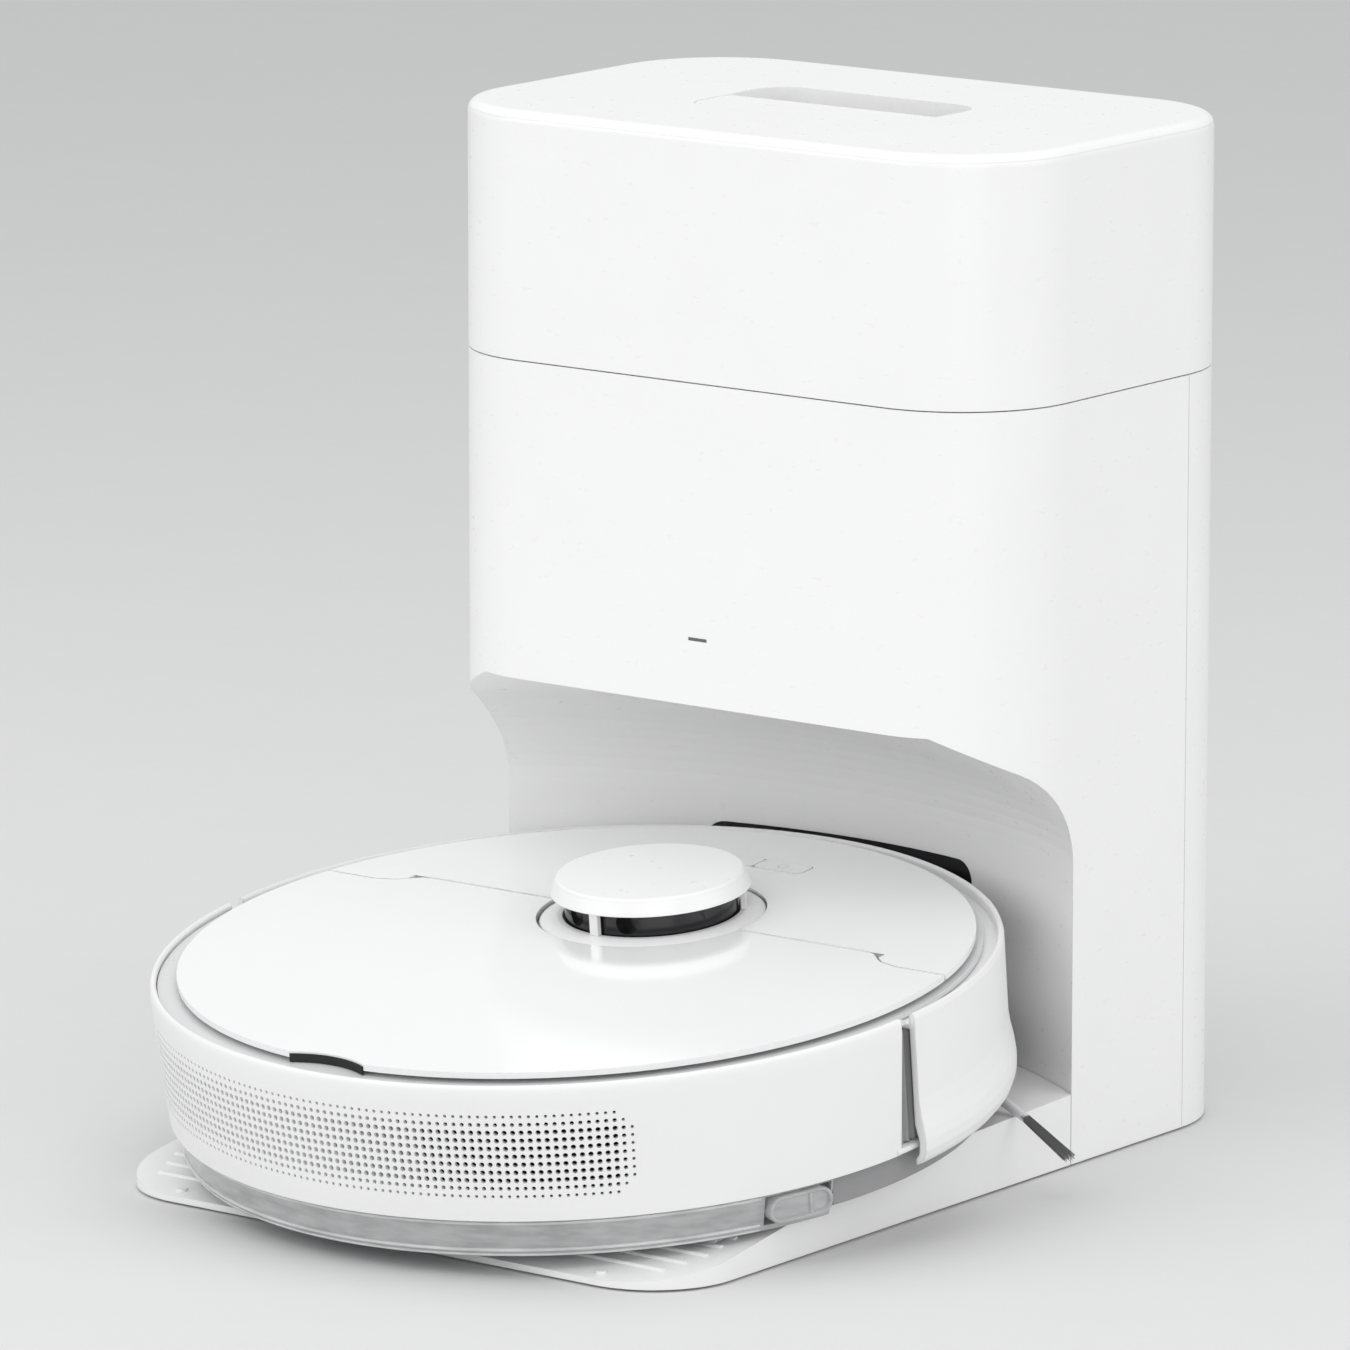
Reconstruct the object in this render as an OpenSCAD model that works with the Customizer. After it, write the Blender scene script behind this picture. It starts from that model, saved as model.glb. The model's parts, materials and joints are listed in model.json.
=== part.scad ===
// Round robot vacuum resting on the wheel ramp of its self-emptying dock.
// Dock: hollow tower with a dust bag, suction motor and lift-off lid, and a ramp with a suction port.
// Robot: chassis, sprung bumper, hinged lid, scanning turret, wheels, brushes and a mopping water tank.
// +Z is up, -Y is the side the robot drives in from, and the robot's front looks along +Y.

/* [Tower] */
// Width of the dock tower and its ramp, mm
tower_w = 295; // [260:1:340]
// Depth of the dock tower, mm
tower_d = 195; // [170:1:240]
// Height of the dock tower, mm
tower_h = 426; // [380:1:480]
// Corner radius of the tower seen from above, mm
tower_r = 53; // [30:1:70]
// Rounding of the tower's top edge, mm
top_round = 5; // [2:0.5:10]
// Height of the seam under the lift-off lid, mm
seam_z = 321; // [300:1:340]
// Distance from the tower's front to the seam of its rear housing, mm
housing_y = 142; // [130:1:155]
// Wall thickness of the tower's shells, mm
wall = 3; // [2:0.5:4]
// Visible gap between the lid and the shells under it, mm
seam_gap = 0.5; // [0.3:0.1:1]

/* [Lid handle] */
// Width of the handle pocket in the lid, mm
handle_w = 108; // [90:1:130]
// Depth of the handle pocket, front to back, mm
handle_d = 68; // [50:1:80]
// Distance from the tower's front to the middle of the handle pocket, mm
handle_y = 93; // [80:1:105]
// How deep the handle pocket goes down, mm
handle_deep = 30; // [20:1:36]
// Part of the handle pocket that the grip panel covers, front to back, mm
grip_d = 34; // [25:1:40]
// Thickness of the grip panel, mm
grip_t = 6; // [4:0.5:8]

/* [Niche] */
// Height of the niche's front opening, mm
niche_top = 186; // [170:1:200]
// Radius of the niche's curved back wall, mm
niche_r = 257.5; // [240:0.5:280]
// Distance from the tower's front to the centre of that curve, mm
niche_y = -150; // [-180:1:-120]
// Radius of the cove between the niche's back wall and its ceiling, mm
cove_r = 47; // [30:1:60]
// Height where the cove starts, mm
cove_z = 127; // [110:1:140]
// Width of the dark sensor window in the back wall, mm
window_w = 140; // [100:1:180]
// Height of the sensor window, mm
window_h = 18; // [12:1:24]
// Height of the sensor window's middle above the floor, mm
window_z = 103; // [90:1:115]

/* [Ramp] */
// Distance that the ramp reaches in front of the tower, mm
ramp_l = 211; // [190:1:230]
// Radius of the ramp's front corners, mm
ramp_r = 38; // [25:1:60]
// Height of the ramp's front edge, mm
ramp_front_z = 3.5; // [3:0.5:6]
// Height of the ramp where it meets the tower, mm
ramp_back_z = 31; // [28:0.5:35]
// Number of grip ribs in front of each wheel
rib_count = 7; // [4:1:9]

/* [Robot] */
// Radius of the robot, mm
robot_r = 175; // [165:1:180]
// Nose-up pitch of the robot parked on the ramp, degrees
robot_pitch = 5.7; // [4:0.1:7]
// Distance from the tower's front to the middle of the robot's lid, mm
robot_y = -81.9; // [-90:0.1:-75]
// Height of the middle of the robot's lid above the floor, mm
robot_z = 99.6; // [95:0.1:105]
// Height of the robot's lid above the floor it drives on, mm
ride_h = 80.6; // [76:0.1:85]
// Radius of the glossy top disc, mm
disc_r = 163.8; // [158:0.1:168]
// Drive wheel radius, mm
wheel_r = 33; // [30:0.5:36]
// Distance from the robot's middle to the middle of each drive wheel, mm
wheel_x = 112; // [105:1:118]
// Free travel of the bumper, mm
bumper_travel = 5; // [3:0.5:6]

/* [Turret] */
// Distance of the scanning turret in front of the robot's middle, mm
turret_y = 51.5; // [45:0.5:58]
// Radius of the turret's base ring, mm
turret_r = 47; // [42:0.5:52]
// Height of the turret's cap above the lid, mm
turret_h = 17.4; // [14:0.1:20]

/* [Output] */
// Which piece to build: "all", or the name of one piece

/* [Hidden] */
$fn = 96;
eps = 0.01;
gap = 0.3;
base_z = 1;
half_w = tower_w / 2;
// The cove turns in small steps up to this angle, degrees
arc_end = 66;
arc_step = 6;

// Robot heights, measured from the top of its lid
belly = -72.5;
belly_t = 2.5;
bay_z = -59;
bay_y = -43.5;
deck_top = -4.5;
deck_low = -6.3;
panel_t = 2.5;
chassis_r = 166;
side_brush_x = 112;
side_brush_y = 106;
side_brush_turn = -16;
side_brush_z = -75.3;
stem_reach = 29;
tuft_reach = 72;
brush_y = 28;
brush_z = -61;
brush_r = 19;
brush_half = 70;
caster_y = 120;
caster_r = 9.5;
arm_y = 40;
arm_z = -40;
wheel_z = wheel_r - ride_h;
hinge_y = 45.2;
hinge_z = -2.4;
clip_turn = 22;
clip_z = -67.5;
bumper_foot_r = 177.5;

// The row's origin is the middle of the whole outline on the floor
tuft_r = 2.6;
band_edge_z = -4.4;
tuft_drop = 21.3;
brush_tip_x = side_brush_x + tuft_reach * cos(side_brush_turn)
  + tuft_r * sqrt(1 - pow(cos(side_brush_turn) * cos(tuft_drop), 2));
robot_rear_y = robot_y - robot_r * cos(robot_pitch) - band_edge_z * sin(robot_pitch);
centre_x = (brush_tip_x - bumper_foot_r) / 2;
centre_y = (tower_d + robot_rear_y) / 2;

// ---------- Helpers ----------

// Puts dock pieces, drawn from the tower's front edge, into the shared frame
module in_dock() {
  translate([-centre_x, -centre_y, 0]) children();
}

// Puts robot pieces, drawn level from the middle of the robot's lid, onto the ramp
module in_robot() {
  in_dock() translate([0, robot_y, robot_z]) rotate([robot_pitch, 0, 0]) children();
}

// Box between two corners
module span(from, to) {
  translate(from) cube(to - from);
}

// Round plate between two heights
module plate(r, low, high) {
  translate([0, 0, low]) cylinder(r = r, h = high - low);
}

// Ring between two radii and two heights
module ring(outer, inner, low, high) {
  difference() {
    plate(outer, low, high);
    plate(inner, low - 1, high + 1);
  }
}

// Rounded rectangle around the origin
module rounded(w, d, r) {
  square([w - 2 * r, d], center = true);
  square([w, d - 2 * r], center = true);
  for (sx = [-1, 1], sy = [-1, 1]) translate([sx * (w / 2 - r), sy * (d / 2 - r)]) circle(r);
}

// Outline of the tower, shrunk all round by the inset
module tower_outline(inset = 0) {
  translate([0, tower_d / 2]) rounded(tower_w - 2 * inset, tower_d - 2 * inset, tower_r - inset);
}

// Slice of the tower's outline between two heights
module tower_slab(inset, low, high) {
  translate([0, 0, low]) linear_extrude(high - low) tower_outline(inset);
}

// Upright section with a rounded top edge on both sides
module arch(w, low, high, round) {
  translate([-w / 2, low]) square([w, high - round - low]);
  translate([-w / 2 + round, low]) square([w - 2 * round, high - low]);
  for (sx = [-1, 1]) translate([sx * (w / 2 - round), high - round]) circle(round);
}

// Solid block with the tower's outline and a rounded top edge
module tower_block(low, high, round) {
  translate([0, tower_d / 2, 0]) {
    rotate([90, 0, 90]) translate([0, 0, tower_r - half_w]) linear_extrude(tower_w - 2 * tower_r)
      arch(tower_d, low, high, round);
    rotate([90, 0, 0]) translate([0, 0, tower_r - tower_d / 2]) linear_extrude(tower_d - 2 * tower_r)
      arch(tower_w, low, high, round);
    for (sx = [-1, 1], sy = [-1, 1]) translate([sx * (half_w - tower_r), sy * (tower_d / 2 - tower_r), 0])
      rotate_extrude() intersection() {
        arch(2 * tower_r, low, high, round);
        square([tower_r, high]);
      }
  }
}

// Space of the niche, grown all round by the given amount
module niche_space(grow = 0) {
  slope_r = niche_r - 65.5;
  cove_x = niche_r - cove_r;
  arc_r = cove_r + grow;
  arc = [for (a = [0 : arc_step : arc_end]) [cove_x + arc_r * cos(a), cove_z + arc_r * sin(a)]];
  translate([0, niche_y, 0]) rotate_extrude()
    polygon(concat([[0, -2], [niche_r + grow, -2]], arc, [[slope_r, niche_top + grow], [0, niche_top + grow]]));
}

// Part of a node on the rear side of the tower's vertical seam
module behind_seam() {
  intersection() {
    children();
    span([-tower_w, housing_y, -1], [tower_w, tower_d + 1, tower_h]);
  }
}

// ---------- Tower ----------

// Front and sides of the tower, with the niche, its curved back wall and a floor
module tower_shell() {
  duct_hole_w = 46;
  duct_hole_z = 21;
  color("white") in_dock() difference() {
    union() {
      difference() {
        tower_slab(0, base_z, seam_z);
        tower_slab(wall, base_z + wall, seam_z + 1);
      }
      intersection() {
        tower_slab(1, base_z, seam_z);
        niche_space(wall);
      }
    }
    niche_space();
    span([-tower_w, housing_y - gap, -1], [tower_w, tower_d + 1, tower_h]);
    window_shape(niche_r - 2, niche_r + 2 * wall, 0);
    translate([duct_x - duct_hole_w / 2, 0, -1]) cube([duct_hole_w, housing_y - wall, duct_hole_z + 1]);
    status_shape(0);
    foot_spots(tower_feet) cylinder(r = foot_r, h = foot_t);
  }
}

// Round-ended slot of the sensor window, cut from a ring around the niche's centre
module window_shape(inner, outer, shrink) {
  intersection() {
    translate([0, niche_y, 0]) ring(outer, inner, window_z - window_h, window_z + window_h);
    translate([0, tower_d, window_z]) rotate([90, 0, 0]) linear_extrude(tower_d)
      rounded(window_w - 2 * shrink, window_h - 2 * shrink, window_h / 2 - shrink - eps);
  }
}

// Dark infrared window that guides the robot home
module niche_window() {
  color("black") in_dock() window_shape(niche_r, niche_r + wall, 0.1);
}

// Short light bar on the front
status_w = 9.5;
status_h = 1.4;
status_z = 214;

module status_shape(shrink) {
  translate([-status_w / 2, -1 + shrink, status_z - status_h / 2]) cube([status_w, 1 + wall + 1, status_h]);
}

module status_light() {
  color("dimgray") in_dock() intersection() {
    status_shape(0);
    span([-status_w, 0.1, 0], [status_w, wall + 0.5, tower_h]);
  }
}

// Back cover of the tower, with vents, an opening for the power inlet and screw holes
vent_count = 9;
vent_pitch = 7;
vent_x = -40;
vent_w = 84;
vent_low = 60;
inlet_x = 70;
inlet_z = 32;
inlet_w = 27;
inlet_h = 20;
back_screws = [[-85, 20], [85, 14], [-85, 300], [85, 300]];
screw_r = 1.6;
screw_head_r = 3.4;

module rear_housing() {
  color("whitesmoke") in_dock() difference() {
    behind_seam() difference() {
      tower_slab(0, base_z, seam_z);
      intersection() {
        tower_slab(wall, base_z + wall, seam_z - wall);
        span([-tower_w, 0, 0], [tower_w, tower_d, tower_h]);
      }
    }
    for (i = [0 : vent_count - 1])
      translate([vent_x - vent_w / 2, tower_d - 2 * wall, vent_low + i * vent_pitch]) cube([vent_w, 3 * wall, 3]);
    translate([inlet_x - inlet_w / 2, tower_d - 2 * wall, inlet_z - inlet_h / 2])
      cube([inlet_w, 3 * wall, inlet_h]);
    for (p = back_screws) translate([p.x, tower_d, p.y]) rotate([90, 0, 0]) {
      translate([0, 0, -1]) cylinder(r = screw_r, h = 4 * wall);
      translate([0, 0, -1]) cylinder(r = screw_head_r, h = 1 + wall / 2);
    }
    foot_spots(housing_feet) cylinder(r = foot_r, h = foot_t);
  }
}

// Lift-off lid over the dust bag, with the handle pocket
module handle_outline(inset) {
  translate([0, handle_y]) rounded(handle_w - 2 * inset, handle_d - 2 * inset, 15 - inset);
}

module dock_lid() {
  low = seam_z + seam_gap;
  pocket_z = tower_h - handle_deep;
  color("white") in_dock() difference() {
    union() {
      difference() {
        tower_block(low, tower_h, top_round);
        tower_slab(wall, low - 1, tower_h - wall);
      }
      translate([0, 0, pocket_z - wall]) linear_extrude(tower_h - wall - pocket_z + wall + eps)
        handle_outline(-wall);
    }
    translate([0, 0, pocket_z]) linear_extrude(handle_deep + 1) handle_outline(0);
    translate([0, 0, tower_h - 3.2]) difference() {
      tower_slab(-1, 0, 0.6);
      tower_slab(0.5, -1, 2);
    }
  }
}

// Flush panel that covers the front of the handle pocket, gripped from behind
module lid_grip_panel() {
  front = handle_y - handle_d / 2;
  color("white") in_dock() translate([0, 0, tower_h - grip_t]) linear_extrude(grip_t - 0.2)
    intersection() {
      handle_outline(0.15);
      translate([-handle_w, front]) square([2 * handle_w, grip_d]);
    }
}

// Bay that holds the dust bag, open at the top
tray_w = 258;
tray_d = 126;
tray_y = 71;
tray_z = 200;
tray_top = 316;
tray_t = 2.5;
duct_x = -66;
duct_y = 121;
motor_x = 58;
motor_y = 149;

module bag_tray() {
  color("gainsboro") in_dock() difference() {
    translate([0, tray_y, tray_z]) linear_extrude(tray_top - tray_z) rounded(tray_w, tray_d, 45);
    translate([0, tray_y, tray_z + tray_t]) linear_extrude(tray_top)
      rounded(tray_w - 2 * tray_t, tray_d - 2 * tray_t, 45 - tray_t);
    translate([duct_x, duct_y - 8, tray_z - 1]) cylinder(r = 12, h = 2 * tray_t);
    for (i = [-2 : 2]) translate([motor_x + 10 * i - 3, 106, tray_z - 1]) cube([6, 20, 2 * tray_t]);
  }
}

// Disposable dust bag and its slide-in collar
bag_w = 196;
bag_d = 92;
bag_top = 384;

module dust_bag() {
  color("lightgray") in_dock() translate([0, tray_y - 6, tray_z + tray_t + 5]) {
    linear_extrude(bag_top - tray_z - tray_t - 5) rounded(bag_w, bag_d, 30);
  }
}

module bag_collar() {
  low = tray_z + tray_t + 0.2;
  color("tan") in_dock() difference() {
    translate([duct_x, duct_y - 16, low]) linear_extrude(3) rounded(62, 48, 6);
    translate([duct_x, duct_y - 8, low - 1]) cylinder(r = 12, h = 6);
  }
}

// Air path from the suction port in the ramp up to the dust bag
duct_w = 40;
duct_low = 5;
duct_h = 13;
duct_end_y = 134;
port_y = -47;
port_half = 73;

module dust_duct() {
  t = 2;
  riser_d = 24;
  riser_w = 40;
  color("dimgray") in_dock() difference() {
    union() {
      span([duct_x - duct_w / 2, port_y - 20, duct_low], [duct_x + duct_w / 2, duct_end_y, duct_low + duct_h]);
      span([duct_x - riser_w / 2, duct_end_y - riser_d, duct_low], [duct_x + riser_w / 2, duct_end_y, tray_z - 12]);
      translate([duct_x, duct_y - 8, tray_z - 14]) cylinder(r = 14, h = 13.8);
    }
    span([duct_x - duct_w / 2 + t, port_y - 20 + t, duct_low + t],
      [duct_x + duct_w / 2 - t, duct_end_y - t, duct_low + duct_h - t]);
    span([duct_x - riser_w / 2 + t, duct_end_y - riser_d + t, duct_low + t],
      [duct_x + riser_w / 2 - t, duct_end_y - t, tray_z - 14]);
    translate([duct_x, duct_y - 8, tray_z - 20]) cylinder(r = 12, h = 30);
    span([1 - port_half, port_y - 16, duct_low + t], [duct_x + duct_w / 2 - t, port_y + 16, 40]);
  }
}

// Suction motor with a fan chamber on top, and its impeller
motor_low = 60;
motor_r = 30;
chamber_r = 41;
chamber_low = 106;
chamber_h = 34;
shaft_r = 4;
fit = 0.05;

module dock_motor() {
  color("dimgray") in_dock() translate([motor_x, motor_y, 0]) difference() {
    union() {
      plate(motor_r, motor_low, chamber_low + 1);
      plate(chamber_r, chamber_low, chamber_low + chamber_h);
    }
    plate(chamber_r - 2.5, chamber_low + 3, chamber_low + chamber_h - 3);
    plate(16, chamber_low, chamber_low + chamber_h + 1);
    ring(motor_r - 3, motor_r - 8, motor_low - 1, motor_low + 20);
  }
  color("silver") in_dock() translate([motor_x, motor_y, 0]) plate(shaft_r, chamber_low - 1, chamber_low + 24);
}

module dock_impeller() {
  low = chamber_low + 5;
  color("black") in_dock() translate([motor_x, motor_y, 0]) {
    difference() {
      union() {
        plate(36, low, low + 2);
        plate(10, low, low + 18);
        for (i = [0 : 8]) rotate([0, 0, i * 40]) span([9, -0.8, low + 1], [35, 0.8, low + 14]);
      }
      plate(shaft_r + fit, low - 1, low + 20);
    }
  }
}

// Pleated filter behind the vents
module exhaust_filter() {
  pleat = 8;
  color("lightblue") in_dock() difference() {
    span([vent_x - vent_w / 2 - 3, 182, vent_low - 3], [vent_x + vent_w / 2 + 3, 191, vent_low + 64]);
    for (i = [0 : 9]) translate([vent_x - vent_w / 2 + 1 + i * (pleat + 0.4), 181, vent_low])
      cube([pleat - 3, 5, 61]);
  }
}

// Mains board with its transformer and capacitors
module power_board() {
  color("darkgreen") in_dock() {
    span([-95, 152, 140], [-10, 153.6, 230]);
    span([-88, 153.5, 150], [-58, 176, 180]);
    span([-45, 153.5, 200], [-20, 166, 222]);
    for (i = [0 : 2]) translate([-28, 153.5, 152 + 15 * i]) rotate([-90, 0, 0]) cylinder(r = 6, h = 20);
  }
}

// Two-pin mains inlet in the back, for a plug-in cord
module power_inlet() {
  color("black") in_dock() difference() {
    union() {
      span([inlet_x - inlet_w / 2, tower_d - 20, inlet_z - inlet_h / 2],
        [inlet_x + inlet_w / 2, tower_d - 0.2, inlet_z + inlet_h / 2]);
      span([inlet_x - inlet_w / 2 - 3, tower_d - wall - 4, inlet_z - inlet_h / 2 - 3],
        [inlet_x + inlet_w / 2 + 3, tower_d - wall, inlet_z + inlet_h / 2 + 3]);
    }
    translate([inlet_x, tower_d + 1, inlet_z]) rotate([90, 0, 0]) linear_extrude(16) {
      for (s = [-1, 1]) translate([4 * s, 0]) circle(4);
      square([8, 8], center = true);
    }
  }
  color("silver") in_dock() for (s = [-1, 1])
    translate([inlet_x + 4 * s, tower_d - 16, inlet_z]) rotate([-90, 0, 0]) cylinder(r = 1.2, h = 12);
}

// Rubber feet, let into the underside
foot_r = 9;
foot_t = 2.8;
ramp_feet = [[-115, -165], [115, -165], [-125, 10], [125, 10]];
tower_feet = [[-128, 110], [128, 110]];
housing_feet = [[-100, 165], [100, 165]];

module foot_spots(list) {
  for (p = list) translate([p.x, p.y, 0]) children();
}

module dock_feet() {
  color("black") in_dock() foot_spots(concat(ramp_feet, tower_feet, housing_feet)) cylinder(r = foot_r, h = foot_t);
}

// Screws that hold the rear housing
module dock_screws() {
  color("silver") in_dock() for (p = back_screws) translate([p.x, tower_d - wall / 2, p.y]) rotate([90, 0, 0]) {
    difference() {
      translate([0, 0, -1]) cylinder(r = screw_head_r - 0.1, h = 1);
      translate([0, 0, -2]) cylinder(r = 1.1, h = 1.6, $fn = 6);
    }
    translate([0, 0, -0.5]) cylinder(r = screw_r, h = 12);
  }
}

// ---------- Ramp ----------

// Side view of the ramp, lowered all along by the given amount
dip_front = -97;
dip_back = -20;
slope = (22 - ramp_front_z) / (dip_front + ramp_l);

module ramp_profile(drop, dips) {
  back = niche_y + niche_r;
  flat = [[dip_back, 28 - drop], [back, ramp_back_z + 1.5 - drop], [back, base_z], [-ramp_l - 1, base_z]];
  nose = [[-ramp_l - 1, ramp_front_z - drop], [dip_front, 22 - drop]];
  dip = [[-91, 21 - drop], [-86, 18.7 - drop], [-77, 18.6 - drop], [-64, 19.8 - drop], [-45, 22 - drop],
    [-33, 24.5 - drop]];
  polygon(dips ? concat(nose, dip, flat) : concat(nose, flat));
}

// The profile swept across a span of X
module ramp_sweep(from, to, drop, dips) {
  translate([from, 0, 0]) rotate([90, 0, 90]) linear_extrude(to - from) ramp_profile(drop, dips);
}

module ramp_outline(inset) {
  back = niche_r - gap - inset;
  intersection() {
    union() {
      translate([0, (120 - ramp_l) / 2]) rounded(tower_w - 2 * inset, 120 + ramp_l - 2 * inset, ramp_r - inset);
      translate([0, 60]) square([tower_w - 2 * inset, 120], center = true);
    }
    translate([0, niche_y]) circle(back);
  }
}

dip_from = 95;

module ramp_body(inset, drop) {
  intersection() {
    translate([0, 0, base_z - (drop > 0 ? 1 : 0)]) linear_extrude(60) ramp_outline(inset);
    union() {
      ramp_sweep(-dip_from - drop, dip_from + drop, drop, false);
      for (s = [-1, 1]) {
        x = s > 0 ? dip_from + drop - eps : -tower_w;
        ramp_sweep(x, x + tower_w - dip_from - drop + eps, drop, true);
      }
      if (drop > 0) span([-tower_w, -ramp_l, base_z - 1], [tower_w, 120, base_z + eps]);
    }
  }
}

// Hollow ramp with wheel dips, grip ribs, contact sockets and the suction port
contact_x = 38;
contact_y = 22.9;
contact_top = 36.2;
contact_r = 4;
rib_pitch = 9.5;
rib_h = 1.6;

module ramp_ribs() {
  for (s = [-1, 1], i = [0 : rib_count - 1]) {
    y = -ramp_l + 18 + i * rib_pitch;
    z = ramp_front_z + slope * (y + ramp_l) - 0.6;
    w = 58;
    translate([s * 108, y, z]) rotate([atan(slope), 0, 0]) rotate([0, 90, 0])
      cylinder(r = rib_h, h = i < 2 ? w - 14 + 7 * i : w, center = true);
  }
}

module base_ramp() {
  color("white") in_dock() difference() {
    union() {
      difference() {
        ramp_body(0, 0);
        ramp_body(2.5, 2.5);
      }
      intersection() {
        ramp_body(0, 0);
        for (s = [-1, 1]) translate([s * contact_x, contact_y, 0]) plate(contact_r + 3, 8, 40);
      }
      intersection() {
        ramp_body(0, 0);
        foot_spots(ramp_feet) cylinder(r = foot_r + 2.5, h = 60);
      }
      ramp_ribs();
      for (s = [-1, 1]) translate([s * 108, -ramp_l + 6, 0]) plate(2.2, 2, 5.6);
    }
    for (s = [-1, 1]) translate([s * contact_x, contact_y, 0]) plate(contact_r + fit, 0, 60);
    foot_spots(ramp_feet) cylinder(r = foot_r, h = foot_t);
    port_cut(port_half, 3, 47, -100, -70);
    port_cut(79, -2, 52, -77.8, -70);
    span([duct_x - duct_w / 2 - 1, 0, 0], [duct_x + duct_w / 2 + 1, 130, duct_low + duct_h + 1]);
  }
}

// Rectangular cut that lies in the plane of the parked robot's belly
module port_cut(half, from, to, low, high) {
  translate([0, robot_y, robot_z]) rotate([robot_pitch, 0, 0]) span([-half, from, low], [half, to, high]);
}

// Rubber lip around the suction port
module port_seal() {
  color("dimgray") in_dock() difference() {
    port_cut(78.9, -1.9, 51.9, -77.8, -74.3);
    port_cut(port_half, 3, 47, -80, -70);
  }
}

// Sprung charging contact
module contact(s) {
  color("goldenrod") in_dock() translate([s * contact_x, contact_y, 0]) {
    plate(contact_r, 14, contact_top - contact_r);
    translate([0, 0, contact_top - contact_r]) sphere(contact_r);
  }
}

module charge_contact_left() {
  contact(-1);
}

module charge_contact_right() {
  contact(1);
}

// ---------- Robot body ----------

well_in = 84;
well_out = 125;
well_rear = -37;
well_front = 52;

// Half-plane filters
module rear_of(y) {
  intersection() {
    children();
    span([-200, -200, -120], [200, y, 60]);
  }
}

module front_of(y) {
  intersection() {
    children();
    span([-200, y, -120], [200, 200, 60]);
  }
}

boss_spots = [[-60, 125], [60, 125], [-150, 20], [150, 20], [-120, -90], [0, -148]];

// Lower body: floor, raised tank bay, side wall, wheel wells and bearing seats
module chassis() {
  floor_top = belly + belly_t;
  color("dimgray") in_robot() difference() {
    union() {
      front_of(bay_y - belly_t) ring(chassis_r, chassis_r - belly_t, belly, -9);
      rear_of(bay_y) ring(chassis_r, chassis_r - belly_t, bay_z, deck_low);
      front_of(bay_y) plate(chassis_r, belly, floor_top);
      rear_of(bay_y) plate(chassis_r, bay_z, bay_z + belly_t);
      intersection() {
        plate(chassis_r, belly, bay_z + belly_t);
        span([-200, bay_y - belly_t, belly], [200, bay_y, 0]);
      }
      for (s = [-1, 1]) {
        mid = s * (well_in + well_out) / 2;
        half = (well_out - well_in) / 2 + 2;
        span([mid - half, well_rear - 2, belly], [mid + half, well_front + 2, -9]);
      }
      for (p = boss_spots) translate([p.x, p.y, 0]) plate(5, p.y > bay_y ? belly : bay_z, deck_low);
      translate([0, caster_y, 0]) plate(9, -58, -40);
      translate([0, caster_y, 0]) ring(23, 19.5, belly, -56);
      translate([0, caster_y, 0]) plate(23, -57.5, -55);
      translate([side_brush_x, side_brush_y, 0]) ring(9, 6.2, belly, -64);
    }
    for (s = [-1, 1]) {
      mid = s * (well_in + well_out) / 2;
      half = (well_out - well_in) / 2;
      span([mid - half, well_rear, belly - 1], [mid + half, well_front, 0]);
    }
    span([-brush_half - 4, brush_y - 24, belly - 1], [brush_half + 4, brush_y + 24, -9]);
    translate([0, caster_y, 0]) plate(19.5, belly - 1, -57.5);
    translate([0, caster_y, 0]) plate(4 + fit, belly, -42);
    translate([side_brush_x, side_brush_y, 0]) plate(6.2, belly - 1, -60);
    for (p = cliff_spots) translate([p.x, p.y, 0]) plate(cliff_r, belly - 1, -60);
    for (s = [-1, 1]) span([s * contact_x - 10, 92, belly - 1], [s * contact_x + 10, 104, -60]);
    span([fan_x - 3, -chassis_r, -46], [fan_x + 19, outlet_y + 2, -28]);
  }
  color("silver") in_robot() for (s = [-1, 1]) translate([s * 84, arm_y, arm_z]) rotate([0, s * 90, 0])
    translate([0, 0, -2]) cylinder(r = 3, h = 19);
}

// Tapered white band around the robot's rear, with a rounded top edge
band_t = 2.7;
band_low = -59.5;
band_start = 4.6;

module band_profile() {
  inner = robot_r - band_t;
  polygon([[inner, -3.2], [inner + 0.7, -2.2], [inner + 1.4, -2], [inner + 2.1, -2.5], [robot_r, band_edge_z],
    [robot_r, -8], [robot_r - 4, band_low], [robot_r - 4 - band_t, band_low], [inner, -8]]);
}

module rear_band() {
  color("white") in_robot() rotate([0, 0, 180 + band_start])
    rotate_extrude(angle = 180 - 2 * band_start) band_profile();
}

// Inner deck under the lid: grey rim, dust bin opening and hinge lugs
bin_x0 = -86;
bin_x1 = 40;
bin_y0 = -130;
bin_y1 = -46;
lug_from = 60;
lug_to = 80;
knuckle_from = 66;
knuckle_to = 74;
pin_r = 0.7;

module deck_frame() {
  color("silver") in_robot() difference() {
    union() {
      front_of(-8) plate(chassis_r + 0.5, deck_low, deck_top);
      rear_of(-8) plate(172, deck_low, deck_top);
      for (s = [-1, 1]) hinge_lugs(s);
      front_of(60) ring(150, 147, deck_top - eps, -panel_t);
    }
    span([bin_x0 - 1, bin_y0 - 1, deck_low - 1], [bin_x1 + 12, bin_y1 + 1, deck_top + 1]);
    translate([0, turret_y, 0]) plate(30, deck_low - 1, deck_top + 1);
    for (s = [-1, 1]) translate([0, hinge_y, hinge_z]) rotate([0, s * 90, 0]) cylinder(r = pin_r, h = 100);
  }
}

module hinge_lugs(s) {
  for (x = [lug_from, knuckle_to + 0.4]) {
    w = lug_to - knuckle_to - 0.4;
    translate([s * (x + w / 2), hinge_y, 0]) {
      translate([0, 0, hinge_z]) rotate([0, 90, 0]) cylinder(r = 1.3, h = w, center = true);
      span([-w / 2, -1.3, deck_low], [w / 2, 1.3, hinge_z]);
    }
  }
}

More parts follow.
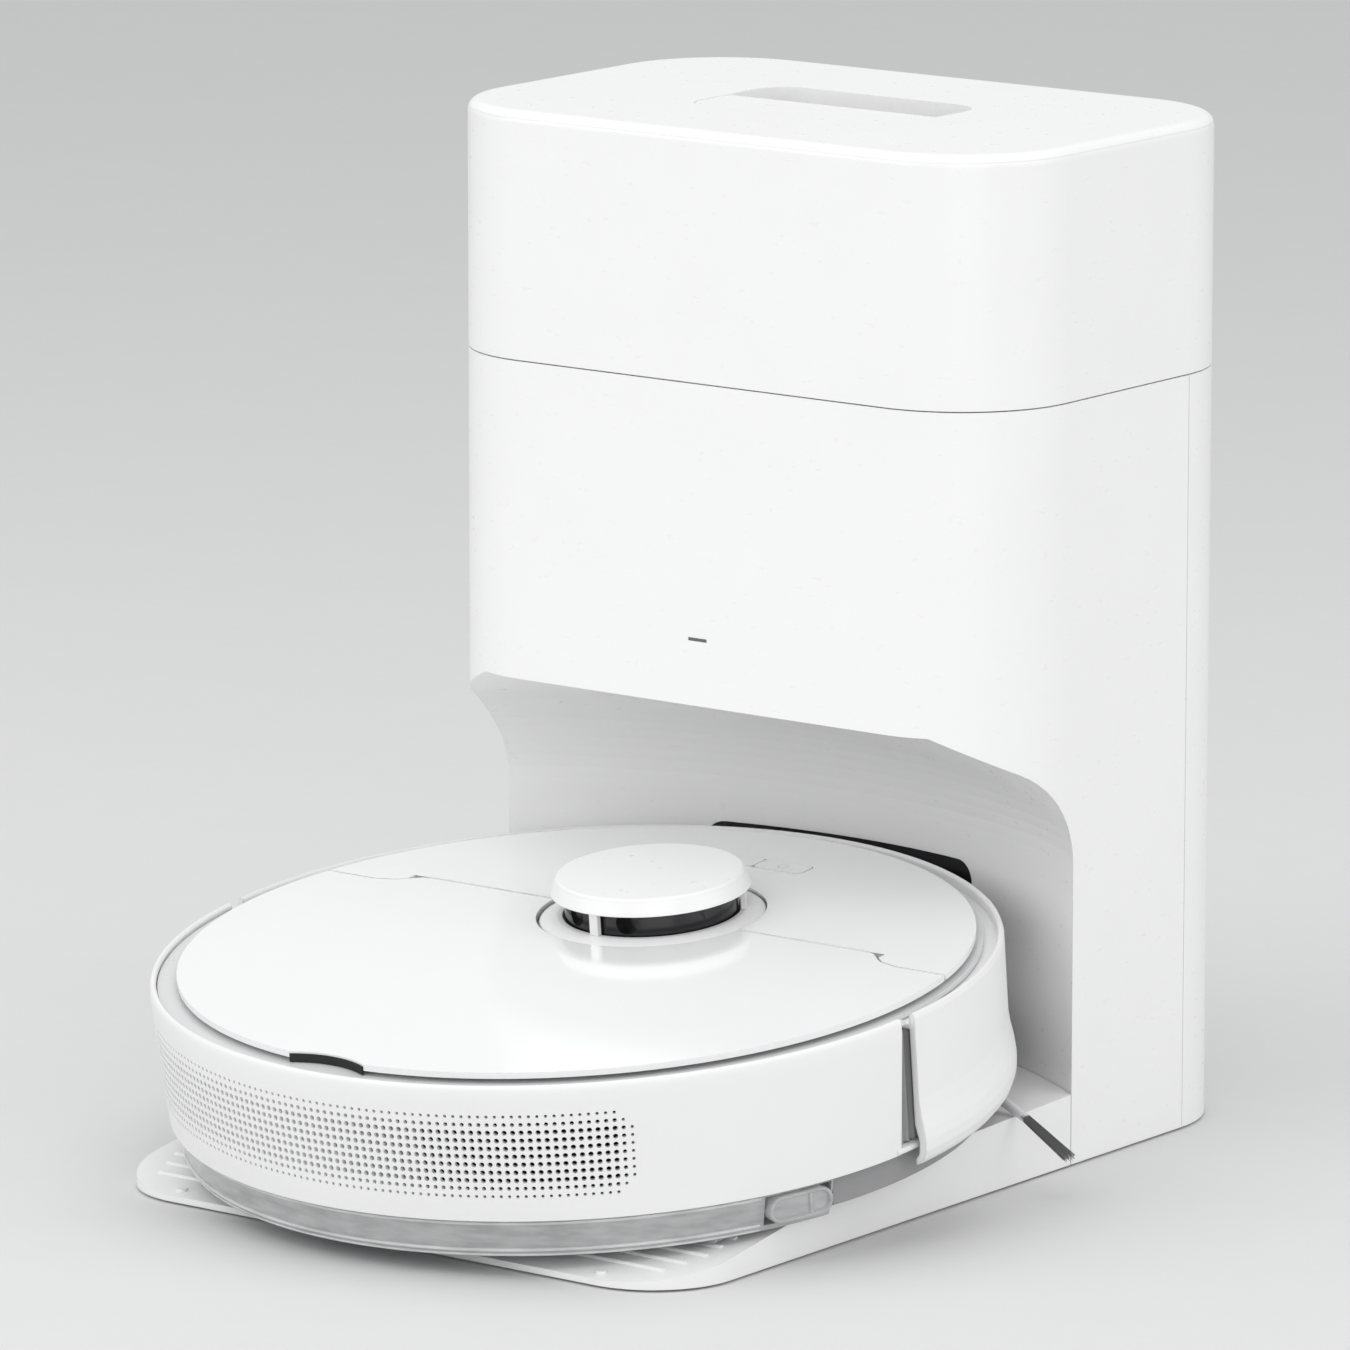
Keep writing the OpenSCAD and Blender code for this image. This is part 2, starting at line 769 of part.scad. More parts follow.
module lid_hinge_pins() {
  color("silver") in_robot() for (s = [-1, 1])
    translate([s * lug_from, hinge_y, hinge_z]) rotate([0, s * 90, 0]) cylinder(r = pin_r, h = lug_to - lug_from);
}

// Line of the seam across the top disc, moved forward by the given amount
module seam_area(shift) {
  side = [[110, 48.3], [117, 47], [126, 39.3], [135, 36.6], [200, 36.8]];
  left = [for (i = [len(side) - 1 : -1 : 0]) [-side[i].x, side[i].y + shift]];
  right = [for (p = side) [p.x, p.y + shift]];
  polygon(concat([[-200, 200]], left, right, [[200, 200]]));
}

// The lid edge's swing where the seam bends
bend_from = 109;
bend_l = 13;
bend_relief_r = 3.05;

button_y = 125.5;
button_w = 24.5;
button_d = 11;

// Fixed front part of the top disc, hollowed where the lid's edge swings past the seam's bend
module top_deck() {
  color("white") in_robot() difference() {
    intersection() {
      plate(disc_r, -panel_t, 0);
      translate([0, 0, -10]) linear_extrude(20) seam_area(0);
    }
    translate([0, turret_y, 0]) plate(turret_r + 0.5, -10, 10);
    translate([0, button_y, -10]) linear_extrude(20) rounded(2 * button_w + 1.2, button_d + 0.8, 3);
    for (s = [-1, 1]) translate([s * bend_from, hinge_y, hinge_z]) rotate([0, s * 90, 0])
      cylinder(r = bend_relief_r, h = bend_l);
  }
}

// Hinged rear part of the top disc, with a finger notch at the back edge
module rear_lid() {
  color("white") in_robot() difference() {
    union() {
      difference() {
        plate(disc_r, -panel_t, 0);
        translate([0, 0, -10]) linear_extrude(20) seam_area(-1.1);
      }
      for (s = [-1, 1]) {
        x = s * (knuckle_from + knuckle_to) / 2;
        w = knuckle_to - knuckle_from - 0.2;
        translate([x, hinge_y, hinge_z]) rotate([0, 90, 0]) cylinder(r = 1.6, h = w, center = true);
      }
    }
    translate([0, turret_y, 0]) plate(turret_r + 1.2, -10, 10);
    translate([0, -199, 0]) plate(41, -10, 10);
    translate([0, 47.2, 0]) rotate([45, 0, 0]) cube([240, 1.1, 1.1], center = true);
    for (s = [-1, 1]) {
      translate([s * lug_from, hinge_y, hinge_z]) rotate([0, s * 90, 0])
        cylinder(r = pin_r + fit, h = lug_to - lug_from);
      for (x = [lug_from - 0.5, knuckle_to]) {
        mid = s * (x + 3.2);
        span([mid - 3.3, hinge_y - 2, -10], [mid + 3.3, hinge_y + 10, -0.8]);
      }
    }
  }
}

// Rocker-free flat keys beside each other on the front deck
module button(s) {
  in_robot() translate([s * (button_w / 2 + 0.2), button_y, -panel_t + 0.2]) linear_extrude(panel_t)
    rounded(button_w - 0.2, button_d, 2.6);
}

module power_button() {
  color("gainsboro") button(1);
}

module home_button() {
  color("gainsboro") button(-1);
}

// ---------- Turret ----------

rotor_r = 36.2;
spindle_r = 4;
ring_low = -1.4;
ring_top = 0.6;
cap_low = 10.4;
cap_round = 1.4;

module turret_base() {
  color("white") in_robot() translate([0, turret_y, 0]) difference() {
    union() {
      plate(turret_r - 2, deck_top, ring_low + 0.5);
      translate([0, 0, ring_low]) cylinder(r1 = turret_r, r2 = rotor_r + 3, h = ring_top - ring_low);
    }
    plate(rotor_r + 1, -2.5, 3);
    plate(spindle_r + 8, -10, -4);
  }
  color("silver") in_robot() translate([0, turret_y, 0]) plate(spindle_r, -3, 8);
}

// Dark spinning sensor head
module lidar_rotor() {
  color("black") in_robot() translate([0, turret_y, 0]) difference() {
    plate(rotor_r, -1.8, 12.5);
    plate(spindle_r + fit, -3, 8.5);
    for (s = [-1, 1]) translate([s * 13, -rotor_r - 6, 6]) rotate([-90, 0, 0]) cylinder(r = 4.5, h = 12);
  }
}

// White cap on three posts
module turret_cap() {
  color("white") in_robot() translate([0, turret_y, 0]) {
    difference() {
      union() {
        translate([0, 0, cap_low]) cylinder(r1 = 41.6, r2 = 39.4, h = turret_h - cap_round - cap_low);
        plate(38.2, cap_low, turret_h);
        translate([0, 0, turret_h - cap_round]) rotate_extrude() translate([38.0, 0]) circle(cap_round);
      }
      plate(rotor_r + 1.5, 10, 13.5);
    }
    for (i = [0 : 2]) rotate([0, 0, -90 + 120 * i]) span([rotor_r + 1, -2.1, ring_top + 0.1], [39.4, 2.1, 12]);
  }
}

// ---------- Robot interior ----------

module dust_bin() {
  t = 2;
  color("gray") in_robot() difference() {
    span([bin_x0, bin_y0, -54], [bin_x1, bin_y1, -8]);
    span([bin_x0 + t, bin_y0 + t, -54 + t], [bin_x1 - t, bin_y1 - t, -7]);
    span([-40, bin_y1 - t - 1, -46], [20, bin_y1 + 1, -26]);
    span([bin_x1 - t - 1, -116, -46], [bin_x1 + 1, -64, -20]);
  }
}

module bin_filter() {
  color("lightyellow") in_robot() difference() {
    span([bin_x1 + 1, -120, -50], [bin_x1 + 9, -60, -14]);
    for (i = [0 : 6]) translate([bin_x1, -117 + 8.2 * i, -48]) cube([5, 5, 32]);
  }
}

module battery() {
  color("steelblue") in_robot() span([-100, 62, -69.5], [-28, 112, -44]);
}

module main_board() {
  color("darkgreen") in_robot() {
    span([-52, 66, -30], [52, 138, -28.4]);
    for (s = [-1, 1]) span([s * 22 - 8, 84, -28.5], [s * 22 + 8, 100, -25]);
    span([-30, 118, -28.5], [30, 132, -20]);
  }
}

fan_x = 90;
fan_y = -86;
fan_r = 28;
outlet_y = -120;

module fan_housing() {
  color("dimgray") in_robot() difference() {
    union() {
      translate([fan_x, fan_y, 0]) plate(fan_r, -55, -22);
      span([fan_x - 2, outlet_y, -48], [fan_x + 18, outlet_y + 22, -26]);
    }
    translate([fan_x, fan_y, 0]) plate(fan_r - 2.5, -40, -25);
    translate([fan_x, fan_y, 0]) plate(12, -39, -20);
    span([fan_x, outlet_y - 1, -46], [fan_x + 16, outlet_y + 20, -28]);
  }
  color("silver") in_robot() translate([fan_x, fan_y, 0]) plate(2.5, -41, -28);
}

module fan_impeller() {
  color("black") in_robot() translate([fan_x, fan_y, 0]) difference() {
    union() {
      plate(22, -38.5, -37);
      plate(6, -38.5, -27.5);
      for (i = [0 : 6]) rotate([0, 0, i * 360 / 7]) span([5, -0.6, -38], [21.5, 0.6, -29]);
    }
    plate(2.5 + fit, -39, -26);
  }
}

// ---------- Bumper ----------

bumper_start = 2;

module bumper_profile() {
  inner = robot_r - band_t;
  polygon([[inner, -3.2], [inner + 0.7, -2.2], [inner + 1.4, -2], [inner + 2.1, -2.5], [robot_r, -4.4],
    [robot_r, -38], [robot_r + 0.8, -45], [robot_r + 2, -51], [bumper_foot_r, -55.5],
    [bumper_foot_r - 0.2, -59.5], [176, -63], [174, -65.2], [172.6, -65.8], [172, -65.8], [172, -63.6],
    [inner + 1.5, -61], [inner + 2, -56], [inner, -49],
    [inner, -8.6], [158, -8.6], [158, -6.8], [inner, -6.8]]);
}

module bumper_sweep(from, angle) {
  rotate([0, 0, from]) rotate_extrude(angle = angle) bumper_profile();
}

module bumper_window_zone(shrink) {
  rotate([0, 0, 55 + shrink]) rotate_extrude(angle = 70 - 2 * shrink)
    polygon([[170, -34], [180, -34], [180, -15], [170, -15]]);
}

module bumper() {
  color("white") in_robot() difference() {
    bumper_sweep(-bumper_start, 180 + 2 * bumper_start);
    bumper_window_zone(0);
  }
}

module bumper_window() {
  color("black") in_robot() intersection() {
    bumper_sweep(40, 100);
    bumper_window_zone(0);
  }
}

// ---------- Brushes ----------

module brush_guard() {
  color("dimgray") in_robot() difference() {
    span([-brush_half - 7, brush_y - 27, -73.5], [brush_half + 7, brush_y + 27, -72.6]);
    span([-brush_half - 3, brush_y - 21, -80], [brush_half + 3, brush_y + 20, -60]);
  }
}

// Rubber-finned roller
module main_brush() {
  fins = 6;
  color("dimgray") in_robot() translate([0, brush_y, brush_z]) rotate([0, 90, 0]) {
    cylinder(r = 11, h = 2 * brush_half, center = true);
    cylinder(r = 3, h = 2 * brush_half + 6, center = true);
    for (i = [0 : fins - 1]) rotate([0, 0, i * 360 / fins])
      translate([0, -1, -brush_half + 1]) cube([brush_r, 2, 2 * brush_half - 2]);
  }
}

module brush_motor() {
  side = brush_half + 4.4;
  color("gray") in_robot() difference() {
    union() {
      span([side, brush_y - 14, -69.8], [side + 7, brush_y + 42, -40]);
      translate([20, 70, -54]) rotate([0, 90, 0]) cylinder(r = 11.5, h = side - 18);
      span([-side - 7, brush_y - 14, -69.8], [-side, brush_y + 14, -50]);
    }
    translate([0, brush_y, brush_z]) rotate([0, 90, 0]) cylinder(r = 4, h = 3 * side, center = true);
  }
}

// Three-armed side brush with stiff stems
module side_brush() {
  color("whitesmoke") in_robot() translate([side_brush_x, side_brush_y, 0]) {
    plate(11, side_brush_z - 1.7, -73.2);
    plate(6, -74, -64.5);
    for (i = [0 : 2]) rotate([0, 0, side_brush_turn + 120 * i])
      translate([0, 0, side_brush_z]) rotate([0, 90, 0]) cylinder(r1 = 2.4, r2 = stem_r, h = stem_reach);
  }
}

// Tapered rod between two points, starting a little before the first so that bent rods join
module rod(from, to, r_from, r_to, before) {
  way = to - from;
  translate(from) rotate([0, acos(way.z / norm(way)), atan2(way.y, way.x)])
    translate([0, 0, -before]) cylinder(r1 = r_from, r2 = r_to, h = norm(way) + before);
}

// The soft ends of the arms as they lie on the parked robot. One hangs free over the edge of the ramp,
// one bends along the niche wall and one lies flat under the belly.
// Each point is [distance from the hub, turn from the arm, height], and the bristles start at the second.
stem_r = 2.2;
sleeve_r = 1.8;
soft_ends = [
  [[stem_reach + 0.8, 0, side_brush_z], [44, 0, -79.4], [tuft_reach, 0, -90.3]],
  [[stem_reach + 0.1, 0, side_brush_z], [42, 0, -75.6], [54, 6, -75.8], [67, 16, -76]],
  [[stem_reach + 0.1, 0, side_brush_z], [44, 0, -75], [tuft_reach, -8, -74.9]]];
tip_radii = [tuft_r, tuft_r, 1.9];

module side_bristles() {
  color("darkgray") in_robot() translate([side_brush_x, side_brush_y, 0])
    for (i = [0 : 2]) rotate([0, 0, side_brush_turn + 120 * i]) {
      points = [for (p = soft_ends[i]) [p.x * cos(p.y), p.x * sin(p.y), p.z]];
      last = len(points) - 1;
      for (k = [1 : last])
        rod(points[k - 1], points[k], k == 1 ? stem_r : sleeve_r - 0.1 * k,
          k == last ? tip_radii[i] : sleeve_r, k == 1 ? 0 : 1);
    }
}

module side_brush_motor() {
  color("gray") in_robot() translate([side_brush_x, side_brush_y, 0]) {
    plate(8.8, -63.9, -36);
    translate([-14, -10, 0]) plate(11, -63.9, -46);
  }
}

module charge_pads() {
  color("goldenrod") in_robot() for (s = [-1, 1])
    span([s * contact_x - 10, 92, -73], [s * contact_x + 10, 104, -71]);
}

cliff_r = 7;
cliff_spots = [for (a = [18, 66, 114, 162]) [148 * cos(a), 148 * sin(a)]];

module cliff_sensors() {
  color("black") in_robot() for (p = cliff_spots) translate([p.x, p.y, 0]) plate(cliff_r, -72.7, -66);
}

// ---------- Mopping unit ----------

tank_top = -60;
tank_low = -76;
tank_y = -47.5;
tank_r = 168.5;
mop_r = 155;
mop_x = 135;
mop_y = -92;
mop_low = -78.5;

module tank_shape(inset) {
  intersection() {
    translate([0, 0, tank_low + inset])
      cylinder(r1 = tank_r - 3.5 - inset, r2 = tank_r - inset, h = tank_top - tank_low - 2 * inset);
    span([-200, -200, -100], [200, tank_y - inset, 0]);
  }
}

module clip_spots() {
  for (a = [-clip_turn, 180 + clip_turn]) rotate([0, 0, a]) translate([tank_r - 3, 0, clip_z]) children();
}

// Smoky clear water tank
module water_tank() {
  t = 2;
  color("lightgray", 0.5) in_robot() difference() {
    union() {
      tank_shape(0);
    }
    difference() {
      tank_shape(t);
      clip_spots() cube([30, 36, 30], center = true);
    }
    clip_spots() cube([24, 31, 12.6], center = true);
    translate([-60, -100, 0]) plate(9, tank_top - t - 1, 0);
  }
  color("dimgray") in_robot() translate([-60, -100, 0]) plate(8.9, tank_top - t - 0.5, tank_top + 0.2);
}

// Soft mop cloth under the tank
module mop_cloth() {
  color("lightgray") in_robot() intersection() {
    plate(mop_r, mop_low, tank_low - 0.1);
    span([-mop_x, -200, -100], [mop_x, mop_y, 0]);
  }
}

// Squeeze clip at each end of the tank
module clip(a) {
  in_robot() rotate([0, 0, a]) translate([tank_r - 5.5, 0, clip_z]) rotate([0, 90, 0]) linear_extrude(7)
    rounded(11.4, 29.4, 5.6);
}

module tank_clip_right() {
  color("lightgray") clip(-clip_turn);
}

module tank_clip_left() {
  color("lightgray") clip(180 + clip_turn);
}

// ---------- Wheels ----------

module wheel_arm(s) {
  x0 = 87;
  w = 12;
  dy = -arm_y;
  dz = wheel_z - arm_z;
  color("gray") in_robot() translate([s > 0 ? x0 : -x0 - w, arm_y, arm_z]) difference() {
    union() {
      rotate([0, 90, 0]) cylinder(r = 9, h = w);
      translate([0, dy, dz]) rotate([0, 90, 0]) cylinder(r = 15, h = w);
      rotate([atan(dz / dy), 0, 0]) span([0, dy, -8], [w, 0, 8]);
    }
    translate([-1, 0, 0]) rotate([0, 90, 0]) cylinder(r = 3 + fit, h = w + 2);
    translate([-1, dy, dz]) rotate([0, 90, 0]) cylinder(r = 2.5 + fit, h = w + 2);
  }
}

module wheel_arm_left() {
  wheel_arm(-1);
}

module wheel_arm_right() {
  wheel_arm(1);
}

module hub(s) {
  color("dimgray") in_robot() translate([s * wheel_x, 0, wheel_z]) rotate([0, s * 90, 0]) difference() {
    union() {
      cylinder(r = 25, h = 18, center = true);
      translate([0, 0, -25]) cylinder(r = 2.5, h = 20);
    }
    translate([0, 0, 5]) ring(21, 8, 0, 10);
    for (i = [0 : 4]) rotate([0, 0, i * 72]) translate([14.5, 0, -12]) cylinder(r = 4, h = 30);
  }
}

module drive_wheel_left() {
  hub(-1);
}

module drive_wheel_right() {
  hub(1);
}

module tyre(s) {
  lugs = 36;
  color("black") in_robot() translate([s * wheel_x, 0, wheel_z]) rotate([0, 90, 0]) difference() {
    cylinder(r = wheel_r, h = 20, center = true);
    cylinder(r = 25, h = 30, center = true);
    for (i = [0 : lugs - 1]) rotate([0, 0, i * 360 / lugs]) translate([wheel_r - 1.6, -1, -11]) cube([4, 2, 22]);
  }
}

module drive_tyre_left() {
  tyre(-1);
}

module drive_tyre_right() {
  tyre(1);
}

// Swivelling front wheel
caster_back = 5;

module caster_fork() {
  color("gray") in_robot() translate([0, caster_y, 0]) difference() {
    union() {
      plate(18.5, -74.5, -58);
      plate(4, -60, -44);
    }
    span([-7, -caster_back - caster_r - 2, -90], [7, -caster_back + caster_r + 2, -60.8]);
    translate([-20, -caster_back, caster_r - ride_h]) rotate([0, 90, 0]) cylinder(r = 1.5 + fit, h = 40);
  }
}

module caster_wheel() {
  wheel_mid = caster_r - ride_h;
  color("black") in_robot() translate([0, caster_y - caster_back, wheel_mid]) rotate([0, 90, 0]) {
    cylinder(r = caster_r, h = 11, center = true);
    cylinder(r = 1.5, h = 26, center = true);
  }
}

base_ramp();
tower_shell();
rear_housing();
dock_lid();
lid_grip_panel();
niche_window();
status_light();
charge_contact_left();
charge_contact_right();
port_seal();
dust_duct();
bag_tray();
dust_bag();
bag_collar();
dock_motor();
dock_impeller();
exhaust_filter();
power_board();
power_inlet();
dock_feet();
dock_screws();
chassis();
rear_band();
deck_frame();
top_deck();
rear_lid();
lid_hinge_pins();
turret_base();
turret_cap();
lidar_rotor();
power_button();
home_button();
dust_bin();
bin_filter();
battery();
main_board();
fan_housing();
fan_impeller();
bumper();
bumper_window();
brush_guard();
main_brush();
brush_motor();
side_brush();
side_bristles();
side_brush_motor();
charge_pads();
cliff_sensors();
water_tank();
mop_cloth();
tank_clip_left();
tank_clip_right();
wheel_arm_left();
wheel_arm_right();
drive_wheel_left();
drive_wheel_right();
drive_tyre_left();
drive_tyre_right();
caster_fork();
caster_wheel();
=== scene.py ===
"""Looks of a round robot vacuum parked in its white self-emptying dock."""

import json
import math
import random

import bmesh
import bpy
from mathutils import Matrix, Vector, noise


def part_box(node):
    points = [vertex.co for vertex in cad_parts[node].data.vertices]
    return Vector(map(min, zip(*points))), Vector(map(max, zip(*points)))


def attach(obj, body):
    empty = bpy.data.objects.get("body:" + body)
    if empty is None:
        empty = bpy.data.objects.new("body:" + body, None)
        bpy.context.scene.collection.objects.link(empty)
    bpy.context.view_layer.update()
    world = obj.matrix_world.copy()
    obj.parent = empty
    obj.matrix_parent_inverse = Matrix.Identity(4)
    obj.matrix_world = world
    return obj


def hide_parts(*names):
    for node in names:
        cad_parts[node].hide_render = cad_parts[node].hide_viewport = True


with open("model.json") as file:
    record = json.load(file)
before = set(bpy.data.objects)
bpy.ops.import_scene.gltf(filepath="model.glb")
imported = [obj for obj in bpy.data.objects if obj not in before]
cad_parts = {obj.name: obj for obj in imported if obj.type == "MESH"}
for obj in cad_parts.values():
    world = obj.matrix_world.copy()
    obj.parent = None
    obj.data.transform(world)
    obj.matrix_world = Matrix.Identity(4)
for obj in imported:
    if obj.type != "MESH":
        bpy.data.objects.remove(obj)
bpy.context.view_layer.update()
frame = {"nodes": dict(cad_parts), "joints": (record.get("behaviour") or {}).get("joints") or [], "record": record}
MM = 0.001
JOINTS = {j["name"]: j for j in frame["joints"]}
NODES = frame["nodes"]
random.seed(7)


# ---------- Places in the shared frame ----------

# From the middle of the robot's lid forwards to the scanner turret's axis, in millimetres.
TURRET_Y = 51.5


def dock_matrix():
    """From dock millimetres (x from the tower's middle, y from its front, z from the floor) to the frame."""
    low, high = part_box("dock_lid")
    return Matrix.Translation(((low.x + high.x) / 2, low.y, 0)) @ Matrix.Scale(MM, 4)


def robot_matrix():
    """From robot millimetres (from the middle of the robot's lid, +y to its front) to the frame."""
    scanner = JOINTS["scanner_spin"]
    up = Vector(scanner["axis"]).normalized()
    right = Vector((1, 0, 0))
    ahead = up.cross(right)
    turn = Matrix((right, ahead, up)).transposed().to_4x4()
    origin = Vector(scanner["pos_m"]) - ahead * TURRET_Y * MM
    return Matrix.Translation(origin) @ turn @ Matrix.Scale(MM, 4)


DOCK = dock_matrix()
ROBOT = robot_matrix()


# ---------- Mesh helpers ----------

# Points closer than this are one point, in metres.
WELD = 2e-6


def piece(name, verts, faces, body, place=ROBOT, sharp=35, materials=()):
    """A mesh piece from millimetre points in a local frame, smooth except at sharp edges."""
    mesh = bpy.data.meshes.new(name)
    mesh.from_pydata([tuple(place @ Vector(v)) for v in verts], [], faces)
    mesh.validate()
    bm = bmesh.new()
    bm.from_mesh(mesh)
    bmesh.ops.remove_doubles(bm, verts=bm.verts, dist=WELD)
    bmesh.ops.recalc_face_normals(bm, faces=bm.faces)
    limit = math.radians(sharp)
    for face in bm.faces:
        face.smooth = True
    for edge in bm.edges:
        edge.smooth = len(edge.link_faces) == 2 and edge.calc_face_angle(0) < limit
    bm.to_mesh(mesh)
    bm.free()
    obj = bpy.data.objects.new(name, mesh)
    bpy.context.scene.collection.objects.link(obj)
    for material in materials:
        mesh.materials.append(material)
    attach(obj, body)
    return obj


def grid_faces(rows, cols, start=0, wrap=False):
    """Quads of a grid of points stored row by row."""
    faces = []
    for r in range(rows - 1):
        for c in range(cols if wrap else cols - 1):
            n = (c + 1) % cols
            a = start + r * cols
            faces.append((a + c, a + n, a + cols + n, a + cols + c))
    return faces


def ring_faces(rings, sides):
    """Faces over a run of closed rings stored ring by ring, capped at both ends."""
    faces = grid_faces(rings, sides, wrap=True)
    faces.append(tuple(reversed(range(sides))))
    faces.append(tuple(range((rings - 1) * sides, rings * sides)))
    return faces


def loft(name, rings, body, place=ROBOT, sharp=35, materials=()):
    """Skin over a list of closed rings of points, capped at both ends."""
    verts = [p for ring in rings for p in ring]
    faces = ring_faces(len(rings), len(rings[0]))
    return piece(name, verts, faces, body, place, sharp, materials)


def tube_parts(path, radii, sides):
    """Points and faces of a closed tube along a path, for joining into one mesh."""
    verts = []
    for k, point in enumerate(path):
        ahead = path[min(k + 1, len(path) - 1)] - path[max(k - 1, 0)]
        across = ahead.cross(Vector((0, 0, 1)))
        across = across.normalized() if across.length > 1e-6 else Vector((1, 0, 0))
        over = across.cross(ahead).normalized()
        for s in range(sides):
            a = 2 * math.pi * s / sides
            verts.append(point + radii[k] * (across * math.cos(a) + over * math.sin(a)))
    return verts, ring_faces(len(path), sides)


def tubes(name, paths, body, sides, materials):
    """Many tubes as one piece. Each path is (points, radii)."""
    verts, faces = [], []
    for path, radii in paths:
        v, f = tube_parts(path, radii, sides)
        faces += [tuple(i + len(verts) for i in face) for face in f]
        verts += v
    return piece(name, verts, faces, body, sharp=50, materials=materials)


def polar(angle, radius, z):
    """A point from an angle in degrees, a radius and a height."""
    a = math.radians(angle)
    return Vector((radius * math.cos(a), radius * math.sin(a), z))


# ---------- Materials ----------

class Nodes:
    """Small helper that adds and links shader nodes in one material."""

    def __init__(self, name):
        self.material = bpy.data.materials.new(name)
        self.material.use_nodes = True
        self.tree = self.material.node_tree
        self.shader = self.tree.nodes["Principled BSDF"]
        self.place = self.add("ShaderNodeTexCoord").outputs["Object"]

    def add(self, kind, **inputs):
        node = self.tree.nodes.new(kind)
        for key, value in inputs.items():
            node.inputs[key.replace("_", " ")].default_value = value
        return node

    def link(self, a, b):
        self.tree.links.new(a, b)

    def noise(self, size_mm, detail=3.0, rough=0.55, stretch=None):
        """Noise whose features are about size_mm across."""
        node = self.add("ShaderNodeTexNoise", Scale=1 / (size_mm * MM), Detail=detail, Roughness=rough)
        source = self.place
        if stretch:
            squeeze = self.add("ShaderNodeMapping")
            squeeze.inputs["Scale"].default_value = stretch
            self.link(source, squeeze.inputs["Vector"])
            source = squeeze.outputs["Vector"]
        self.link(source, node.inputs["Vector"])
        return node.outputs["Fac"]

    def ranged(self, value, low, high, start=0.3, end=0.7):
        """A value between start and end, spread over low to high."""
        node = self.add("ShaderNodeMapRange", From_Min=start, From_Max=end, To_Min=low, To_Max=high)
        self.link(value, node.inputs["Value"])
        return node.outputs["Result"]

    def mixed(self, factor, a, b):
        """Colour mixed from a to b; a may be another node's output."""
        node = self.add("ShaderNodeMix")
        node.data_type = "RGBA"
        # A Mix node's colours are its inputs 6 and 7 and its output 2.
        self.link(factor, node.inputs[0])
        for socket, colour in ((node.inputs[6], a), (node.inputs[7], b)):
            if isinstance(colour, tuple):
                socket.default_value = (*colour, 1)
            else:
                self.link(colour, socket)
        return node.outputs[2]

    def bump(self, height, depth_mm, under=None):
        """Small relief of a given depth, on top of another normal if there is one."""
        node = self.add("ShaderNodeBump", Distance=depth_mm * MM, Strength=1.0)
        self.link(height, node.inputs["Height"])
        if under:
            self.link(under, node.inputs["Normal"])
        return node.outputs["Normal"]


def shaded(colour, share):
    """The colour, darkened to a share of itself."""
    return tuple(c * share for c in colour)


BROAD_MM, SCUFF_MM = 38, 7
COAT_ROUGH = 0.08
BEVEL_SAMPLES = 4


def plastic(name, colour, rough, grain=0.35, depth=0.004, mottle=0.02, coat=0.0, edge=0.35, specular=0.5):
    """Moulded plastic: fine grain, faint uneven colour and gloss, and softened edges. Sizes in mm."""
    n = Nodes(name)
    broad = n.noise(BROAD_MM, 4)
    scuff = n.noise(SCUFF_MM, 6, 0.65, (1, 1, 2.5))
    colour_out = n.mixed(n.ranged(broad, 0, 1), colour, shaded(colour, 1 - mottle))
    colour_out = n.mixed(n.ranged(scuff, 0, 0.3, 0.45, 0.95), colour_out, shaded(colour, 1 - 1.5 * mottle))
    n.link(colour_out, n.shader.inputs["Base Color"])
    n.link(n.ranged(scuff, rough * 0.88, rough * 1.15), n.shader.inputs["Roughness"])
    n.shader.inputs["Specular IOR Level"].default_value = specular
    n.shader.inputs["Coat Weight"].default_value = coat
    n.shader.inputs["Coat Roughness"].default_value = COAT_ROUGH
    soft = None
    if edge:
        bevel = n.add("ShaderNodeBevel", Radius=edge * MM)
        bevel.samples = BEVEL_SAMPLES
        soft = bevel.outputs["Normal"]
    n.link(n.bump(n.noise(grain, 2), depth, soft), n.shader.inputs["Normal"])
    return n.material


FLOW_MM, RIPPLE_MM = 16, 2.2
CLEAR_IOR = 1.45


def clear_plastic(name, colour, rough, see_through, depth=0.01):
    """See-through plastic with faint flow marks and a slightly rippled surface."""
    n = Nodes(name)
    flow = n.noise(FLOW_MM, 4, 0.5, (1, 1, 4))
    tint = n.mixed(n.ranged(flow, 0, 1, 0.4, 0.65), colour, shaded(colour, 0.8))
    n.link(tint, n.shader.inputs["Base Color"])
    n.link(n.ranged(flow, rough * 0.8, rough * 1.2), n.shader.inputs["Roughness"])
    n.shader.inputs["Transmission Weight"].default_value = see_through
    n.shader.inputs["IOR"].default_value = CLEAR_IOR
    n.link(n.bump(n.noise(RIPPLE_MM, 3), depth), n.shader.inputs["Normal"])
    return n.material


LINES_MM, TARNISH_MM = 1.2, 4
LINES_STRETCH = (1, 1, 14)
LINES_DEPTH = 0.006


def metal(name, colour, rough):
    """Drawn or turned metal with fine lines and small tarnish."""
    n = Nodes(name)
    lines = n.noise(LINES_MM, 4, 0.6, LINES_STRETCH)
    tarnish = n.mixed(n.ranged(n.noise(TARNISH_MM), 0, 1), colour, shaded(colour, 0.8))
    n.link(tarnish, n.shader.inputs["Base Color"])
    n.link(n.ranged(lines, rough * 0.7, rough * 1.4), n.shader.inputs["Roughness"])
    n.shader.inputs["Metallic"].default_value = 1.0
    n.link(n.bump(lines, LINES_DEPTH), n.shader.inputs["Normal"])
    return n.material


